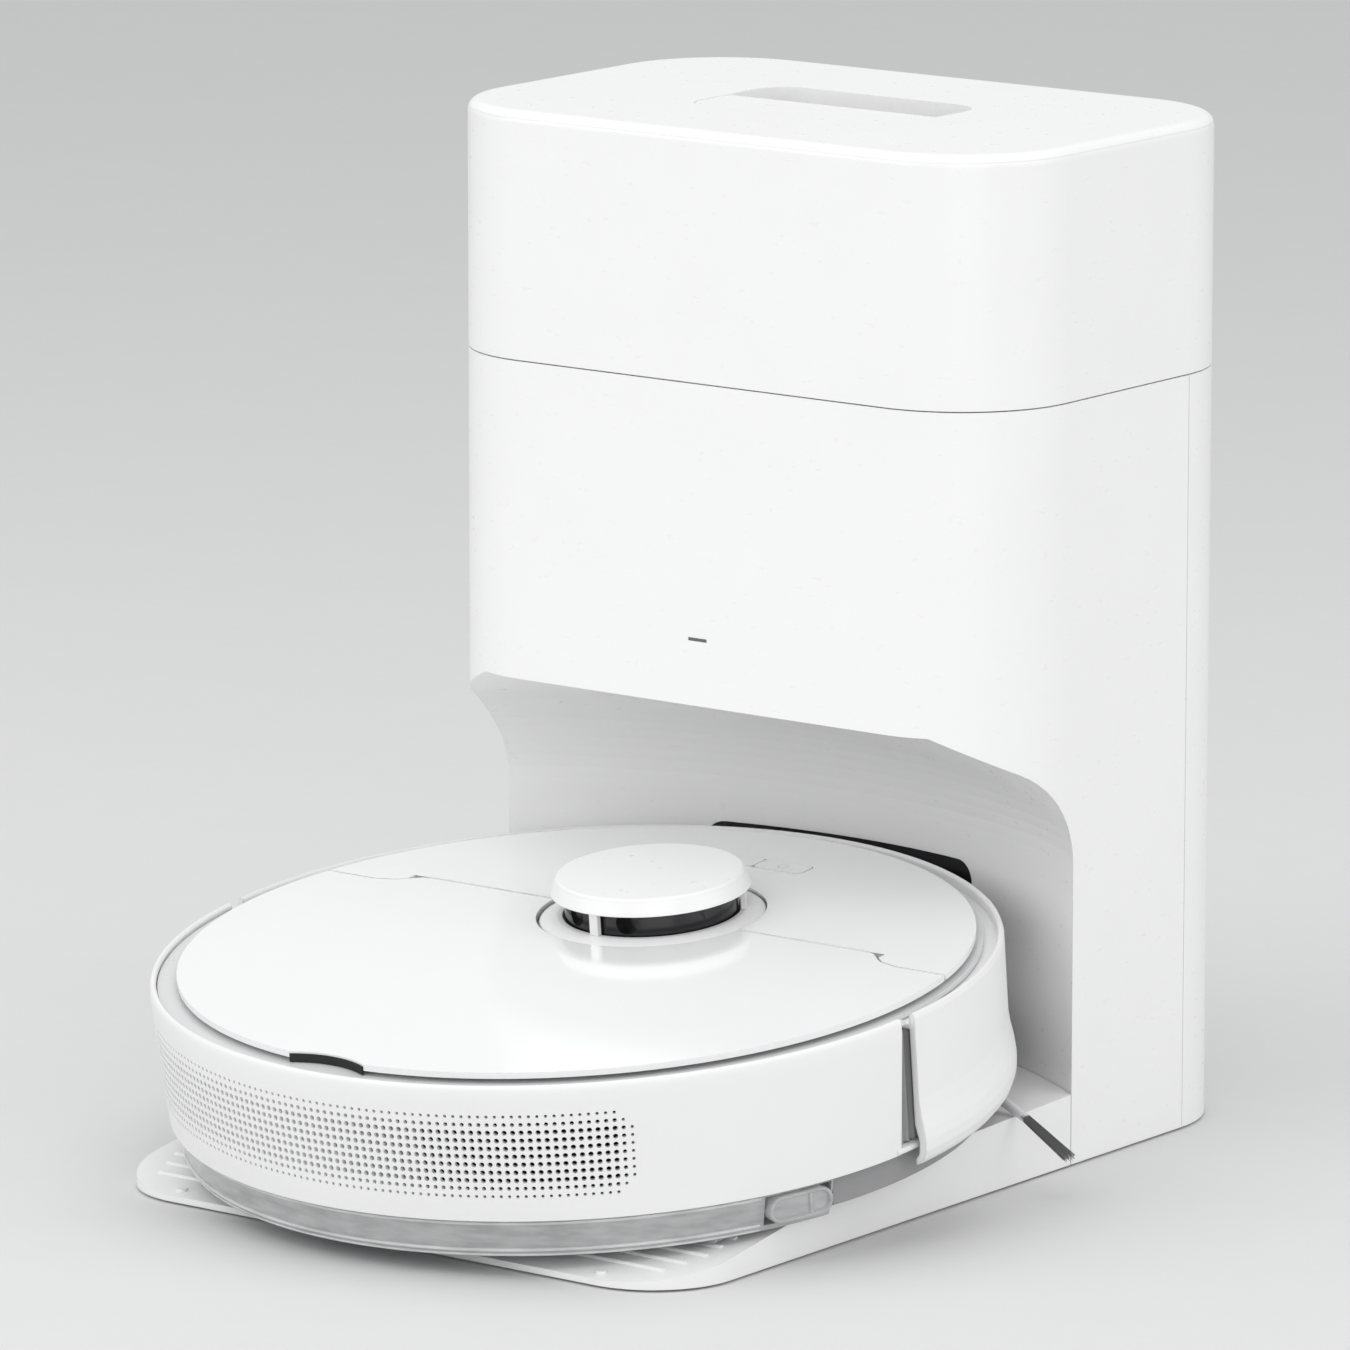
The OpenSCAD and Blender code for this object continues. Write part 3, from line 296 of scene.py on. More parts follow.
def fabric(name, colour, fibre, depth, sheen=0.3, stretch=(1, 1, 1)):
    """Non-woven, looped or bristly fibre, with strands about as wide as the fibre size in mm."""
    n = Nodes(name)
    strands = n.noise(fibre, 5, 0.7, stretch)
    n.link(n.mixed(n.ranged(strands, 0, 1), shaded(colour, 0.72), colour), n.shader.inputs["Base Color"])
    n.link(n.ranged(strands, 0.85, 1.0), n.shader.inputs["Roughness"])
    n.shader.inputs["Sheen Weight"].default_value = sheen
    n.link(n.bump(strands, depth), n.shader.inputs["Normal"])
    return n.material


PAD_MM = 3.2
TRACK_DEPTH = 0.05
LACQUER_GREEN, TRACK_GREEN = (0.015, 0.11, 0.045), (0.03, 0.2, 0.075)


def circuit_board(name):
    """Green lacquer, paler and raised where copper tracks run under it around square pads."""
    n = Nodes(name)
    cells = n.add("ShaderNodeTexVoronoi", Scale=1 / (PAD_MM * MM))
    cells.distance = "CHEBYCHEV"
    n.link(n.place, cells.inputs["Vector"])
    tracks = n.ranged(cells.outputs["Distance"], 0, 1, 0.33, 0.36)
    n.link(n.mixed(tracks, LACQUER_GREEN, TRACK_GREEN), n.shader.inputs["Base Color"])
    n.link(n.ranged(cells.outputs["Distance"], 0.25, 0.45), n.shader.inputs["Roughness"])
    n.link(n.bump(tracks, TRACK_DEPTH), n.shader.inputs["Normal"])
    return n.material


DUST_MM, WAVE_MM = 0.8, 9
WAVE_DEPTH = 0.01
WINDOW_BLACK, DUST_GREY = (0.012, 0.012, 0.014), (0.06, 0.06, 0.065)


def window_plastic(name):
    """Glossy infrared-clear black, with dust specks."""
    n = Nodes(name)
    dust = n.noise(DUST_MM, 6, 0.7)
    specks = n.mixed(n.ranged(dust, 0, 0.5, 0.66, 0.8), WINDOW_BLACK, DUST_GREY)
    n.link(specks, n.shader.inputs["Base Color"])
    n.link(n.ranged(dust, 0.08, 0.22), n.shader.inputs["Roughness"])
    n.link(n.bump(n.noise(WAVE_MM, 2), WAVE_DEPTH), n.shader.inputs["Normal"])
    return n.material


WHITE = (0.862, 0.862, 0.86)

# The numbers after a colour, in this order:
# plastic: roughness, grain size and depth in mm, mottle; clear_plastic: roughness, share that is
# see-through, ripple depth in mm; metal: roughness; fabric: fibre size and depth in mm, sheen, stretch.
MATERIALS = {
    "white_gloss": plastic("white_gloss", (0.884, 0.884, 0.882), 0.3, 0.6, 0.003, 0.012, coat=0.15),
    "white_satin": plastic("white_satin", WHITE, 0.42, 0.3, 0.006, 0.015),
    "bumper_satin": plastic("bumper_satin", WHITE, 0.4, 0.3, 0.006, 0.015, edge=1.4),
    # Paler than the tank: painted highlight along the tank's moulded lines.
    "tank_edge_painted_highlight": clear_plastic("tank_edge_painted_highlight", (0.88, 0.885, 0.89), 0.2, 0.3, 0.003),
    "disc_gloss": plastic("disc_gloss", (0.9, 0.902, 0.905), 0.12, 1.5, 0.003, 0.01, coat=0.6),
    "grey_plastic": plastic("grey_plastic", (0.42, 0.42, 0.43), 0.5, 0.3, 0.008, 0.05),
    "rim_pale": plastic("rim_pale", (0.72, 0.722, 0.725), 0.3, 0.5, 0.004, 0.03, coat=0.3),
    "chassis_grey": plastic("chassis_grey", (0.3, 0.3, 0.305), 0.55, 0.3, 0.01, 0.06),
    # Near black: painted shade for the wall behind the grille's right part.
    "grille_painted_shade": plastic("grille_painted_shade", (0.012, 0.012, 0.013), 0.8, 0.4, 0.01, 0.15, specular=0.2),
    "backing": plastic("backing", (0.5, 0.5, 0.505), 0.6, 0.3, 0.008, 0.05),
    "gasket": plastic("gasket", (0.34, 0.34, 0.345), 0.6, 0.6, 0.012, 0.06, specular=0.35),
    "dark_plastic": plastic("dark_plastic", (0.045, 0.046, 0.05), 0.55, 0.3, 0.01, 0.12),
    "black_window": window_plastic("black_window"),
    "light_pipe": clear_plastic("light_pipe", (0.16, 0.165, 0.17), 0.3, 0.2),
    "clear_tank": clear_plastic("clear_tank", (0.78, 0.785, 0.79), 0.22, 0.45, 0.004),
    "bin_smoke": clear_plastic("bin_smoke", (0.25, 0.26, 0.27), 0.2, 0.5),
    "steel": metal("steel", (0.55, 0.55, 0.56), 0.3),
    "contact_metal": metal("contact_metal", (0.8, 0.68, 0.42), 0.25),
    "rubber": plastic("rubber", (0.025, 0.025, 0.026), 0.75, 0.5, 0.02, 0.15, specular=0.3),
    "grey_rubber": plastic("grey_rubber", (0.12, 0.12, 0.125), 0.7, 0.5, 0.015, 0.1, specular=0.35),
    "tyre": plastic("tyre", (0.022, 0.022, 0.023), 0.8, 0.7, 0.03, 0.2, specular=0.3),
    "nonwoven": fabric("nonwoven", (0.8, 0.8, 0.77), 0.7, 0.12),
    "microfibre": fabric("microfibre", (0.5, 0.53, 0.56), 1.1, 0.4, 0.5),
    "bristle": fabric("bristle", (0.19, 0.19, 0.195), 0.5, 0.03, 0.2, (1, 1, 6)),
    "sleeve": plastic("sleeve", (0.7, 0.7, 0.71), 0.45, 0.5, 0.01, 0.03),
    "paper": fabric("paper", (0.78, 0.74, 0.62), 0.8, 0.08, 0.1),
    "card": fabric("card", (0.6, 0.5, 0.36), 1.0, 0.06, 0.0, (1, 4, 1)),
    "circuit": circuit_board("circuit"),
    "cell_wrap": plastic("cell_wrap", (0.03, 0.09, 0.22), 0.3, 4.0, 0.05, 0.1),
    "icon_grey": plastic("icon_grey", (0.2, 0.2, 0.205), 0.4, 0.3, 0.003, 0.03, edge=0),
}


# Nodes whose finish in the photograph differs from that of the slot they share.
CLOSER = {
    "top_deck": "disc_gloss",
    "rear_lid": "disc_gloss",
    "deck_frame": "rim_pale",
    "chassis": "chassis_grey",
    "bumper": "bumper_satin",
}


def dress_nodes():
    """Every CAD node takes the material of its slot in the record, or a closer one."""
    for row in frame["record"]["subparts"]:
        obj = NODES[row["node"]]
        obj.data.materials.clear()
        obj.data.materials.append(MATERIALS[CLOSER.get(row["node"], row["material_slot"])])


# ---------- Rear band with its vent grille ----------

# Angles are in degrees, counted from the robot's right. Heights are below the robot's lid.
ROBOT_R = 175
BAND_FROM, BAND_TO = 184.6, 355.4
BAND_T = 2.2
TAPER_TOP, TAPER_LOW, TAPER = -8, -59.5, 4
HOLE_PITCH = 3.4
HOLE_RADII = (0.66, 0.86, 1.06)
HOLE_SIDES = 16
CORNER_CUT = 2
GRILLE_COLUMNS = 81
GRILLE_ROWS = 11
GRILLE_TOP = -14.8
ABOVE_GRILLE, BELOW_GRILLE, BAND_FOOT = -10.5, -54, -58.6
SHOULDER = ((-2.7, -3.2), (-2.3, -2.5), (-1.7, -2.1), (-1.1, -2.1), (-0.5, -2.6), (-0.1, -3.6), (0, -5.2))
PLAIN_STEPS = 24


def band_radius(z):
    """Outside radius of the tapered band at a height."""
    return ROBOT_R - TAPER * max(0, (TAPER_TOP - z) / (TAPER_TOP - TAPER_LOW))


def hole_radius(col, row):
    """Holes shrink towards the grille's outline, and its ends are round."""
    from_end = min(col, GRILLE_COLUMNS - 1 - col)
    from_edge = min(row, GRILLE_ROWS - 1 - row)
    from_corner = from_end + from_edge - CORNER_CUT
    if from_corner < 0:
        return 0
    return HOLE_RADII[min(from_end, from_edge, from_corner, len(HOLE_RADII) - 1)]


def grille_cell(verts, faces, left, right, low, high, radius):
    """One cell of wall: a hole with its rim and bore, or plain wall where radius is 0."""
    middle = (left + right) / 2
    level = (low + high) / 2
    per_mm = (right - left) / HOLE_PITCH
    sides = HOLE_SIDES
    shells = []
    for depth in (0, BAND_T):
        edge, rim = [], []
        for k in range(sides):
            a = 2 * math.pi * k / sides
            ca, sa = math.cos(a), math.sin(a)
            reach = 1 / max(abs(ca), abs(sa))
            edge.append((middle + ca * reach * (right - left) / 2, level + sa * reach * (high - low) / 2))
            rim.append((middle + ca * radius * per_mm, level + sa * radius))
        base = len(verts)
        verts.extend(polar(a, band_radius(z) - depth, z) for a, z in edge + rim)
        shells.append(base)
        if radius:
            faces.extend((base + k, base + (k + 1) % sides, base + sides + (k + 1) % sides, base + sides + k)
                         for k in range(sides))
        else:
            faces.append(tuple(base + k for k in range(sides)))
    if radius:
        out, back = shells[0] + sides, shells[1] + sides
        faces.extend((out + k, out + (k + 1) % sides, back + (k + 1) % sides, back + k) for k in range(sides))


def cell_edge_points(low, high):
    """Places at which a cell meets its neighbour, from its low corner up to just under its high one."""
    share = math.tan(math.pi / 8)
    mid, half = (low + high) / 2, (high - low) / 2
    return [low, mid - half * share, mid, mid + half * share]


def build_band():
    """Tapered white band with a rounded top edge and a grille of round holes."""
    step = math.degrees(HOLE_PITCH / ROBOT_R)
    middle = (BAND_FROM + BAND_TO) / 2
    left = middle - GRILLE_COLUMNS * step / 2
    cells = [left + i * step for i in range(GRILLE_COLUMNS + 1)]
    top = GRILLE_TOP + HOLE_PITCH / 2
    levels = [top - j * HOLE_PITCH for j in range(GRILLE_ROWS + 1)]
    verts, faces = [], []
    for i in range(GRILLE_COLUMNS):
        for j in range(GRILLE_ROWS):
            grille_cell(verts, faces, cells[i], cells[i + 1], levels[j + 1], levels[j], hole_radius(i, j))
    across = [BAND_FROM + k * (left - BAND_FROM) / PLAIN_STEPS for k in range(PLAIN_STEPS)]
    inside = [a for i in range(GRILLE_COLUMNS) for a in cell_edge_points(cells[i], cells[i + 1])]
    right = cells[-1]
    beyond = [right + k * (BAND_TO - right) / PLAIN_STEPS for k in range(PLAIN_STEPS + 1)]
    cap = [(ROBOT_R + r, z) for r, z in SHOULDER]
    upper = cap + [(band_radius(z), z) for z in (TAPER_TOP, ABOVE_GRILLE, levels[0])]
    lower = [(band_radius(z), z) for z in (levels[-1], BELOW_GRILLE, BAND_FOOT, TAPER_LOW)]
    inner_low = [(band_radius(z) - BAND_T, z) for z in (TAPER_LOW, BELOW_GRILLE, levels[-1])]
    inner_top = [(band_radius(z) - BAND_T, z) for z in (levels[0], TAPER_TOP)] + [cap[0]]
    heights = [z for j in range(GRILLE_ROWS) for z in reversed(cell_edge_points(levels[j + 1], levels[j]))]
    heights.pop()
    side = [(band_radius(z), z) for z in heights]
    side_back = [(band_radius(z) - BAND_T, z) for z in reversed(heights)]

    def strip(angles, profile):
        """Sweep a profile over the angles, and return the place of its first point."""
        start = len(verts)
        for a in angles:
            verts.extend(polar(a, r, z) for r, z in profile)
        faces.extend(grid_faces(len(angles), len(profile), start))
        return start

    seam = inside + [right]
    strip(seam, upper)
    strip(seam, lower + inner_low)
    strip(seam, inner_top)
    whole = upper + side + lower + inner_low + side_back + inner_top
    for angles in (across + [left], beyond):
        start = strip(angles, whole)
        end = start if angles[0] == BAND_FROM else start + (len(angles) - 1) * len(whole)
        faces.append(tuple(end + k for k in range(len(whole))))
    band = piece("rear_band_grille", verts, faces, "robot", sharp=32, materials=[MATERIALS["white_satin"]])
    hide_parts("rear_band")


BACKING_HIGH, BACKING_LOW = -11, -52
BACKING_NEAR, BACKING_FAR = -0.8, -1.6
BACKING_PROFILE = (
    (BACKING_NEAR, BACKING_HIGH),
    (BACKING_NEAR, BACKING_LOW),
    (BACKING_FAR, BACKING_LOW),
    (BACKING_FAR, BACKING_HIGH),
)
# The wall behind the grille's right part is near black, painted shade of the deep inside seen through the holes.
BACKING_START, SHADE_START, SHADE_END = 225, 286, 315


def grille_backing(name, start, end, look):
    """Wall a little behind part of the grille, with a ring of points at each degree."""
    rings = []
    for a in range(start, end + 1):
        rings.append([polar(a, band_radius(z) - BAND_T + r, z) for r, z in BACKING_PROFILE])
    wall = loft(name, rings, "robot", materials=[MATERIALS[look]])


NOTCH_Y = -199
NOTCH_R, SHADOW_R = 40.92, 40.3
NOTCH_HIGH, NOTCH_LOW = -0.8, -4.2
NOTCH_FROM, NOTCH_SWEEP, NOTCH_STEPS = 62.6, 54.8, 32


def finger_slot():
    """Near-black strip on the wall of the finger notch in the lid's rear edge: painted shadow inside the slot."""
    profile = ((NOTCH_R, NOTCH_LOW), (NOTCH_R, NOTCH_HIGH), (SHADOW_R, NOTCH_HIGH), (SHADOW_R, NOTCH_LOW))
    rings = []
    for k in range(NOTCH_STEPS + 1):
        a = math.radians(NOTCH_FROM + NOTCH_SWEEP * k / NOTCH_STEPS)
        rings.append([Vector((r * math.cos(a), NOTCH_Y + r * math.sin(a), z)) for r, z in profile])
    # The near-black rubber material here is painted shadow inside the slot.
    slot = loft("finger_slot_painted_shadow", rings, "bin_lid", materials=[MATERIALS["rubber"]])


# ---------- Bumper gaskets ----------

GASKET_BACK_R, GASKET_R, PLEAT_HALF = 166.6, 168.6, 0.9
GASKET_LOW, GASKET_HIGH = -56, -9.4
GASKET_STEPS, PLEAT_TURNS = 40, 5
LEDGE_HALF, LEDGE_STEPS = 2.6, 6
LEDGE_PROFILE = (
    (166.6, -59.3),
    (171.2, -59.3),
    (171.8, -58.7),
    (171.8, -57.4),
    (171.2, -56.8),
    (166.6, -56.8),
)


def bumper_gasket(name, start, end):
    """Pleated rubber strip in the gap between the rear band and the bumper, and the ledge under it."""
    rings = []
    for k in range(GASKET_STEPS + 1):
        share = k / GASKET_STEPS
        front_r = GASKET_R + PLEAT_HALF * math.cos(share * PLEAT_TURNS * 2 * math.pi)
        a = start + (end - start) * share
        front = [polar(a, front_r, GASKET_LOW), polar(a, front_r, GASKET_HIGH)]
        back = [polar(a, GASKET_BACK_R, GASKET_HIGH), polar(a, GASKET_BACK_R, GASKET_LOW)]
        rings.append(front + back)
    strip = loft(name, rings, "robot", sharp=60, materials=[MATERIALS["gasket"]])
    middle = (start + end) / 2
    rings = []
    for k in range(LEDGE_STEPS + 1):
        a = middle - LEDGE_HALF + 2 * LEDGE_HALF * k / LEDGE_STEPS
        rings.append([polar(a, r, z) for r, z in LEDGE_PROFILE])
    ledge = loft(name + "_ledge", rings, "robot", sharp=50, materials=[MATERIALS["white_satin"]])


# ---------- Side brush ----------

HUB = Vector((112, 106, 0))
ARM_TURN = -16
STEM_REACH, STEM_Z = 29.1, -75.3
SOFT_ENDS = (
    ((STEM_REACH, 0, STEM_Z), (44, 0, -79.4), (72, 0, -90.3)),
    ((STEM_REACH, 0, STEM_Z), (42, 0, -75.6), (54, 6, -75.8), (67, 16, -76)),
    ((STEM_REACH, 0, STEM_Z), (44, 0, -75), (72, -8, -74.9)),
)
ARMS = len(SOFT_ENDS)
FAN_HALF = (2.9, 2.4, 2.4)
FAN_FLAT = (0.75, 0.7, 0.6)
ROOT_HALF = 1.2
ROOT_SHARE = 0.8
SLEEVE_STEPS, SLEEVE_R, SLEEVE_TIP_R, SLEEVE_TAPER = 6, 2.2, 1.75, 0.3
STRANDS, STRAND_STEPS = 90, 8
LOOK_AHEAD = 0.05


def arm_points(arm):
    """The route of one arm's soft end, in robot millimetres."""
    turn = ARM_TURN + 360 / ARMS * arm
    return [HUB + polar(turn + bend, reach, z) for reach, bend, z in SOFT_ENDS[arm]]


def along(points, share):
    """Point at a share of the way along a smooth curve through the points."""
    spans = len(points) - 1
    k = min(int(share * spans), spans - 1)
    t = share * spans - k
    before = points[max(k - 1, 0)]
    after = points[min(k + 2, spans)]
    a, b = points[k], points[k + 1]
    m0 = (b - before) * 0.5
    m1 = (after - a) * 0.5
    h = t * t * (3 - 2 * t)
    return a * (1 - h) + b * h + m0 * (t * (1 - t) ** 2) - m1 * (t * t * (1 - t))


def build_brush_ends():
    """Pale soft sleeves that end in tufts of dark bristle, bent as they lie on the parked robot."""
    sleeves, strands = [], []
    for arm in range(ARMS):
        points = arm_points(arm)
        start, root = points[0], points[1]
        path = [start.lerp(root, k / SLEEVE_STEPS) for k in range(SLEEVE_STEPS + 1)]
        sleeve_radii = [SLEEVE_R - SLEEVE_TAPER * k / SLEEVE_STEPS for k in range(SLEEVE_STEPS)]
        sleeves.append((path, sleeve_radii + [SLEEVE_TIP_R]))
        bristles = [start.lerp(root, ROOT_SHARE)] + points[1:]
        for _ in range(STRANDS):
            angle = random.uniform(0, 2 * math.pi)
            spread = math.sqrt(random.random())
            reach = random.uniform(0.93, 1.0)
            thick = random.uniform(0.13, 0.19)
            route, radii = [], []
            for k in range(STRAND_STEPS + 1):
                share = reach * k / STRAND_STEPS
                centre = along(bristles, share)
                before = along(bristles, max(0, share - LOOK_AHEAD))
                after = along(bristles, min(1, share + LOOK_AHEAD))
                ahead = after - before
                across = ahead.cross(Vector((0, 0, 1))).normalized()
                over = across.cross(ahead).normalized()
                # The tuft opens sideways a little late, and less in height than in width.
                wide = ROOT_HALF + (FAN_HALF[arm] - ROOT_HALF) * share ** 1.2
                flat = ROOT_HALF + (FAN_HALF[arm] * FAN_FLAT[arm] - ROOT_HALF) * share
                route.append(centre + across * wide * spread * math.cos(angle)
                             + over * flat * spread * math.sin(angle))
                radii.append(thick * (1 - 0.35 * share))
            strands.append((route, radii))
    soft = tubes("brush_sleeves", sleeves, "corner_brush", sides=16, materials=[MATERIALS["sleeve"]])
    tufts = tubes("brush_tufts", strands, "corner_brush", sides=4, materials=[MATERIALS["bristle"]])
    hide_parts("side_bristles")


# ---------- Water tank details ----------

CLIP_TURN = 22
CLIP_Z = -67.5
CLIP_HALF, CLIP_TALL = 14.7, 5.7
CLIP_ROUND_STEPS = 10
# The rim of a clip, from its root outwards: inset and radius.
CLIP_STEPS = ((0, 163), (0, 169.2), (0.25, 169.8), (0.7, 170), (1.3, 169.9), (1.6, 169.3), (1.9, 168.3))
BAR_U, BAR_HALF_TALL = 4.8, 4.2
BAR_PROFILE = ((168, -0.9), (169, -0.8), (169.4, -0.4), (169.4, 0.4), (169, 0.8), (168, 0.9))


def clip_ring(inset, depth, turn):
    """Obround ring of a clip, in robot millimetres."""
    half, tall = CLIP_HALF - inset, CLIP_TALL - inset
    straight = half - tall
    ring = []
    for side, first in ((1, -90), (-1, 90)):
        for k in range(CLIP_ROUND_STEPS + 1):
            a = math.radians(first + 180 * k / CLIP_ROUND_STEPS)
            ring.append((side * straight + tall * math.cos(a), tall * math.sin(a)))
    frame_turn = Matrix.Rotation(math.radians(turn), 4, "Z")
    return [frame_turn @ Vector((depth, u, CLIP_Z + v)) for u, v in ring]


def build_clip(name, body, turn, side):
    """Clear squeeze clip: a rounded rim around two sunk windows with a bar between them."""
    rings = [clip_ring(inset, depth, turn) for inset, depth in CLIP_STEPS]
    clip = loft(name, rings, body, sharp=45, materials=[MATERIALS["clear_tank"]])
    place = ROBOT @ Matrix.Rotation(math.radians(turn), 4, "Z")
    bar_u = BAR_U * side
    rings = []
    for v in (-BAR_HALF_TALL, BAR_HALF_TALL):
        rings.append([Vector((r, bar_u + u, CLIP_Z + v)) for r, u in BAR_PROFILE])
    bar = loft(name + "_bar", rings, body, place, sharp=50, materials=[MATERIALS["clear_tank"]])
    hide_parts(name.replace("_clear", ""))


# The tank's three moulded lines, from the top down: height, radius and half thickness. They are paler than the
# tank, a painted highlight.
TANK_LINES = ((-61.2, 168.4, 0.8), (-73.2, 165.7, 0.75), (-75.3, 165.0, 0.6))
LINE_TO_CLIP, LINE_STEPS = 6, 120


def tank_lip():
    """Moulded lip around the tank just under its top edge, and two lines near its bottom, in a paler plastic as
    painted highlights.
    """
    first, last = 180 + CLIP_TURN + LINE_TO_CLIP, 360 - CLIP_TURN - LINE_TO_CLIP
    paths = []
    for z, radius, thick in TANK_LINES:
        path = [polar(first + (last - first) * k / LINE_STEPS, radius, z) for k in range(LINE_STEPS + 1)]
        paths.append((path, [thick] * len(path)))
    lip = tubes("tank_lip", paths, "mop_unit", sides=8, materials=[MATERIALS["tank_edge_painted_highlight"]])


MOP_R, MOP_FRONT, MOP_HALF = 155, -92, 135
MOP_TOP, MOP_LOW = -76.1, -78.5
MOP_HEM = 3
MOP_ROUND_STEPS, MOP_FRONT_STEPS = 72, 40
MOP_CENTRE = Vector((0, -118, 0))
MOP_EDGE = (
    (MOP_HEM, MOP_TOP),
    (0.6, MOP_TOP - 0.2),
    (0, MOP_TOP - 1.1),
    (0.6, MOP_LOW + 0.3),
    (MOP_HEM, MOP_LOW + 0.1),
)
MOP_SHARES = (0.94, 0.86, 0.77, 0.68, 0.58, 0.48, 0.38, 0.28, 0.18, 0.08)
MOP_PILE = 0.35


def mop_outline(inset):
    """Half-round outline of the mop cloth."""
    radius, front, half = MOP_R - inset, MOP_FRONT - inset, MOP_HALF - inset
    first = math.degrees(math.acos(half / radius))
    sweep = 180 - 2 * first
    points = [polar(180 + first + sweep * k / MOP_ROUND_STEPS, radius, 0) for k in range(MOP_ROUND_STEPS + 1)]
    right = points[-1].x
    points.append(Vector((right, front, 0)))
    points += [Vector((right - 2 * right * k / MOP_FRONT_STEPS, front, 0)) for k in range(1, MOP_FRONT_STEPS)]
    points.append(Vector((-right, front, 0)))
    return points


def build_mop():
    """Looped microfibre cloth with a bound edge, held flat under the tank."""
    rings = []
    for inset, z in MOP_EDGE:
        rings.append([p + Vector((0, 0, z)) for p in mop_outline(inset)])
    for share in MOP_SHARES:
        ring = []
        for p in mop_outline(MOP_HEM):
            q = MOP_CENTRE + (p - MOP_CENTRE) * share
            # Small loops on a slightly wavy cloth.
            nub = noise.noise(q * 0.9) * 0.22 + noise.noise(q * 0.23) * 0.12
            ring.append(Vector((q.x, q.y, MOP_LOW + MOP_PILE + nub)))
        rings.append(ring)
    cloth = loft("mop_pad", rings, "mop_unit", sharp=70, materials=[MATERIALS["microfibre"]])
    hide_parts("mop_cloth")


# ---------- Dust bag ----------

BAG_ROWS, BAG_COLUMNS = 40, 96
BAG_ROUND = 0.75
BAG_PLEATS = 22
BAG_GROWTH = 1.02


def build_bag():
    """Partly filled non-woven bag: crowned sides, a pinched top seam and soft creases."""
    low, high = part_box("dust_bag")
    middle = (low + high) / 2
    half = (high - low) / 2
    rings = []
    for r in range(BAG_ROWS + 1):
        up = -1 + 2 * r / BAG_ROWS
        # Full in the middle and pinched flat at both ends, more so above than below.
        fill = (1 - abs(up) ** 5) ** 0.35 if abs(up) < 1 else 0
        deep = 0.06 + 0.9 * fill * (0.82 if up > 0 else 0.96) ** (abs(up) * 2)
        wide = 0.9 + 0.07 * fill
        ring = []
        for c in range(BAG_COLUMNS):
            a = 2 * math.pi * c / BAG_COLUMNS
            ca, sa = math.cos(a), math.sin(a)
            u = math.copysign(abs(ca) ** BAG_ROUND, ca)
            v = math.copysign(abs(sa) ** BAG_ROUND, sa)
            p = Vector((half.x * wide * u, half.y * deep * v, half.z * up * 0.985))
            crease = 1 + 0.05 * noise.noise(p * 28) + 0.025 * noise.noise(p * 75)
            pucker = 1 - 0.03 * (abs(up) ** 4) * (1 + math.sin(a * BAG_PLEATS))
            ring.append(middle + Vector((p.x * min(crease * pucker, BAG_GROWTH), p.y * crease * pucker, p.z)))
        rings.append(ring)
    bag = loft("dust_bag_cloth", rings, "dock", place=Matrix.Identity(4), sharp=80,
               materials=[MATERIALS["nonwoven"]])
    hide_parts("dust_bag")


# ---------- Key marks ----------

KEY_X, KEY_Y = 12.45, 125.5
MARK_Z = 0.02
MARK_STEPS = 40
POWER_R, POWER_LINE = 2.3, 0.22
HOME_R, HOME_LINE = 1.9, 0.2


def mark_arc(x, first, sweep, radius, line):
    """A round line of a key mark: its points and its half thickness at each."""
    centre = Vector((x, KEY_Y, MARK_Z))
    path = [centre + polar(first + sweep * k / MARK_STEPS, radius, 0) for k in range(MARK_STEPS + 1)]
    return path, [line] * len(path)


def build_key_marks():
    """A plain ring-and-bar power mark and a plain ring on the home key, let into the surface."""
    bar = [Vector((KEY_X, KEY_Y + 1.0 + 0.5 * k, MARK_Z)) for k in range(5)]
    power_lines = [mark_arc(KEY_X, 120, 300, POWER_R, POWER_LINE), (bar, [POWER_LINE] * len(bar))]
    home_lines = [mark_arc(-KEY_X, 0, 360, HOME_R, HOME_LINE)]
    power = tubes("power_mark", power_lines, "power_key", sides=8, materials=[MATERIALS["icon_grey"]])
    home = tubes("home_mark", home_lines, "home_key", sides=8, materials=[MATERIALS["icon_grey"]])


# ---------- Camera, lights and floor ----------

# The camera and the lights look at this point, in dock millimetres.
TARGET = (-11.6, 0, 197.8)
CAMERA_TURN, CAMERA_UP, CAMERA_FAR = 37.29, 11.456, 4194.7
LENS, SENSOR = 270.2, 36
CLIP_END = 100
SKY, SKY_STRENGTH = (0.975, 0.98, 0.985, 1), 0.74
FLOOR_HALF = 20
# Each light: turn, height angle, distance in mm, size in m and power in watts.
LIGHTS = {
    "key_box": (-28, 30, 2600, (2.4, 2.0), 16),
    "front_box": (44, 10, 3000, (2.0, 1.4), 12),
    "right_box": (100, 22, 2600, (1.6, 2.2), 9.5),
    "top_box": (20, 84, 2300, (2.6, 2.6), 18),
}


def around(turn, up, far):
    """A point around the target, in dock millimetres. Turn 0 is straight in front of the dock."""
    t, u = math.radians(turn), math.radians(up)
    way = Vector((math.sin(t) * math.cos(u), -math.cos(t) * math.cos(u), math.sin(u)))
    return DOCK @ (Vector(TARGET) + way * far)


def aim(obj, place):
    """Put a camera or light at a place, facing the target."""
    obj.location = place
    obj.rotation_euler = (DOCK @ Vector(TARGET) - place).to_track_quat("-Z", "Y").to_euler()


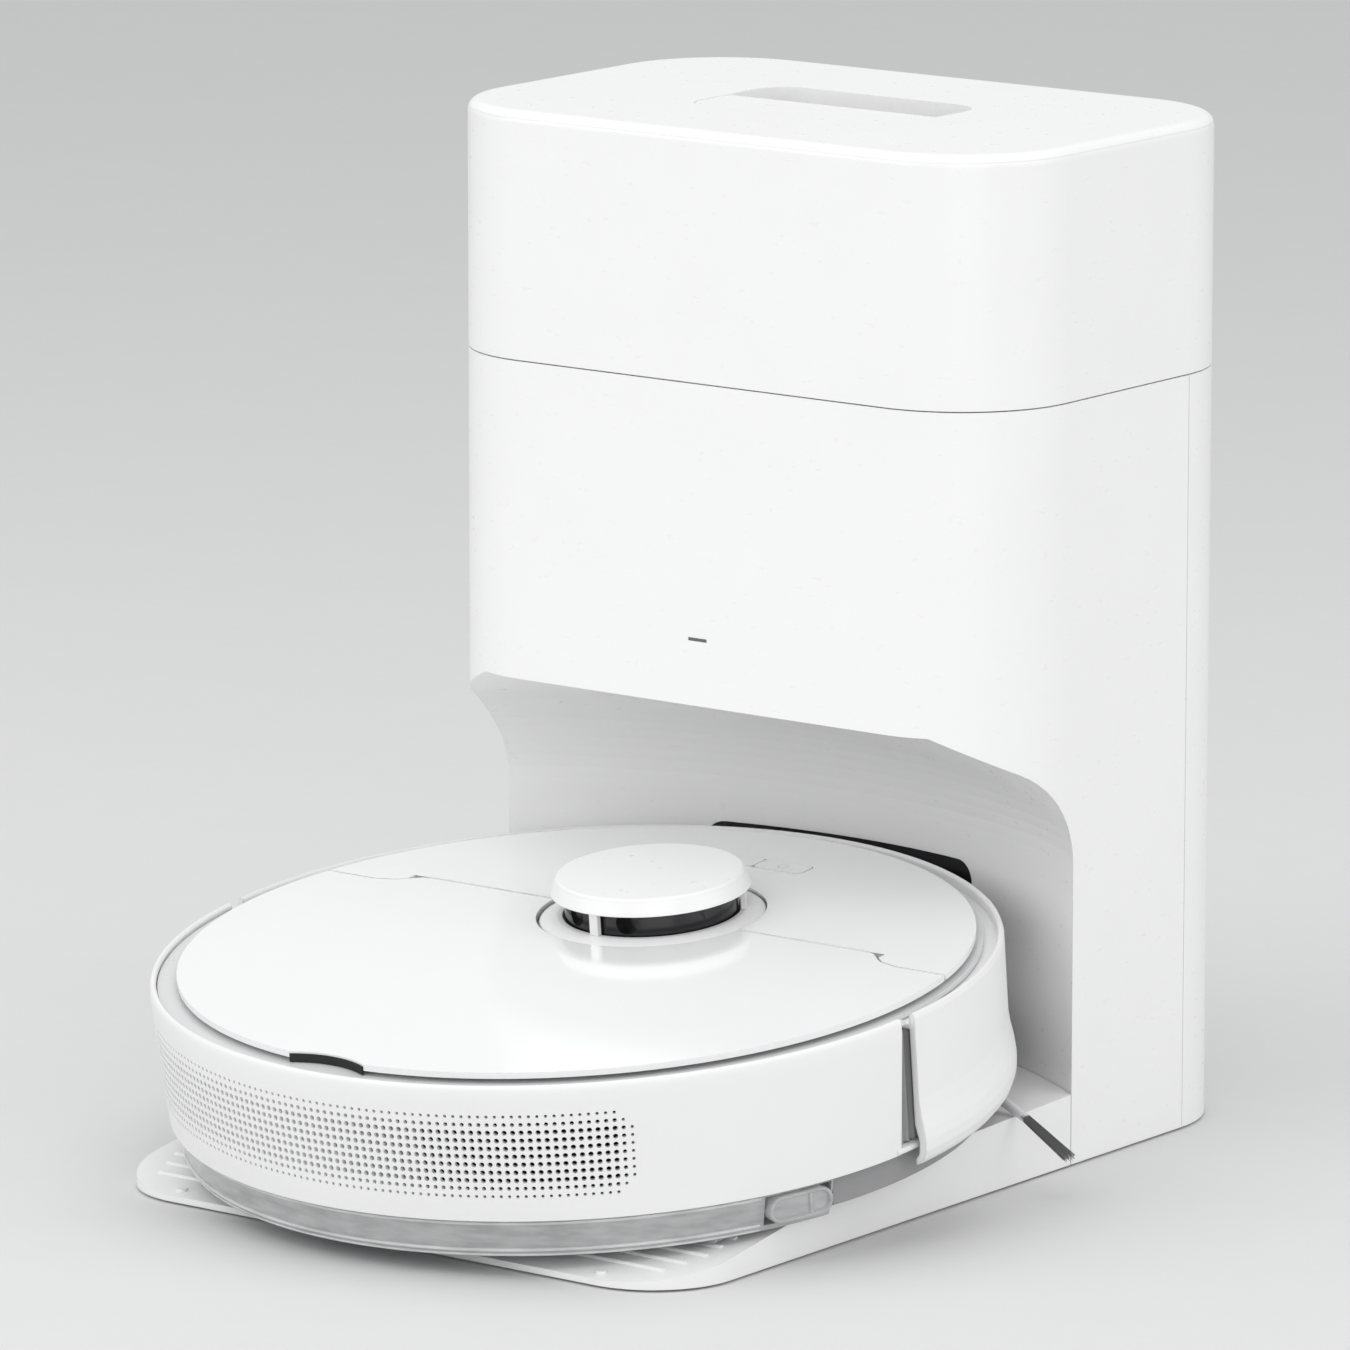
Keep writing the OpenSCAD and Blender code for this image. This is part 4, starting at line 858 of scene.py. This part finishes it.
def soft_box(name, turn, up, far, size, power):
    """A large soft lamp aimed at the target."""
    data = bpy.data.lights.new(name, "AREA")
    data.shape = "RECTANGLE"
    data.size, data.size_y = size
    data.energy = power
    lamp = bpy.data.objects.new(name, data)
    bpy.context.scene.collection.objects.link(lamp)
    aim(lamp, around(turn, up, far))


def build_camera():
    """The camera at the photograph's viewing angle."""
    data = bpy.data.cameras.new("camera")
    data.lens, data.sensor_width = LENS, SENSOR
    data.clip_end = CLIP_END
    camera = bpy.data.objects.new("camera", data)
    bpy.context.scene.collection.objects.link(camera)
    aim(camera, around(CAMERA_TURN, CAMERA_UP, CAMERA_FAR))
    bpy.context.scene.camera = camera


def build_lights():
    """Four soft lamps and an even pale surrounding."""
    for name, values in LIGHTS.items():
        soft_box(name, *values)
    world = bpy.data.worlds.new("studio")
    world.use_nodes = True
    background = world.node_tree.nodes["Background"]
    background.inputs["Color"].default_value = SKY
    background.inputs["Strength"].default_value = SKY_STRENGTH
    bpy.context.scene.world = world
    bpy.context.scene.view_settings.view_transform = "Standard"


def build_floor():
    """A plain pale floor."""
    corners = [(x * FLOOR_HALF, y * FLOOR_HALF, 0) for x, y in ((-1, -1), (1, -1), (1, 1), (-1, 1))]
    mesh = bpy.data.meshes.new("floor")
    mesh.from_pydata(corners, [], [(0, 1, 2, 3)])
    floor = bpy.data.objects.new("floor", mesh)
    bpy.context.scene.collection.objects.link(floor)
    mesh.materials.append(plastic("floor_pale", (0.7, 0.7, 0.7), 0.8, 2.0, 0.01, 0.01, edge=0, specular=0.2))


# ---------- The whole picture ----------

build_camera()
build_lights()
build_floor()
dress_nodes()
build_band()
grille_backing("grille_backing", BACKING_START, SHADE_START, "backing")
# This near-black wall is painted shade seen through the grille's right part.
grille_backing("grille_shade_wall", SHADE_START, SHADE_END, "grille_painted_shade")
finger_slot()
bumper_gasket("bumper_gasket_right", -6.2, 0.4)
bumper_gasket("bumper_gasket_left", 179.6, 186.2)
build_brush_ends()
build_clip("tank_clip_right_clear", "clip_right", -CLIP_TURN, 1)
build_clip("tank_clip_left_clear", "clip_left", 180 + CLIP_TURN, -1)
tank_lip()
build_mop()
build_bag()
build_key_marks()
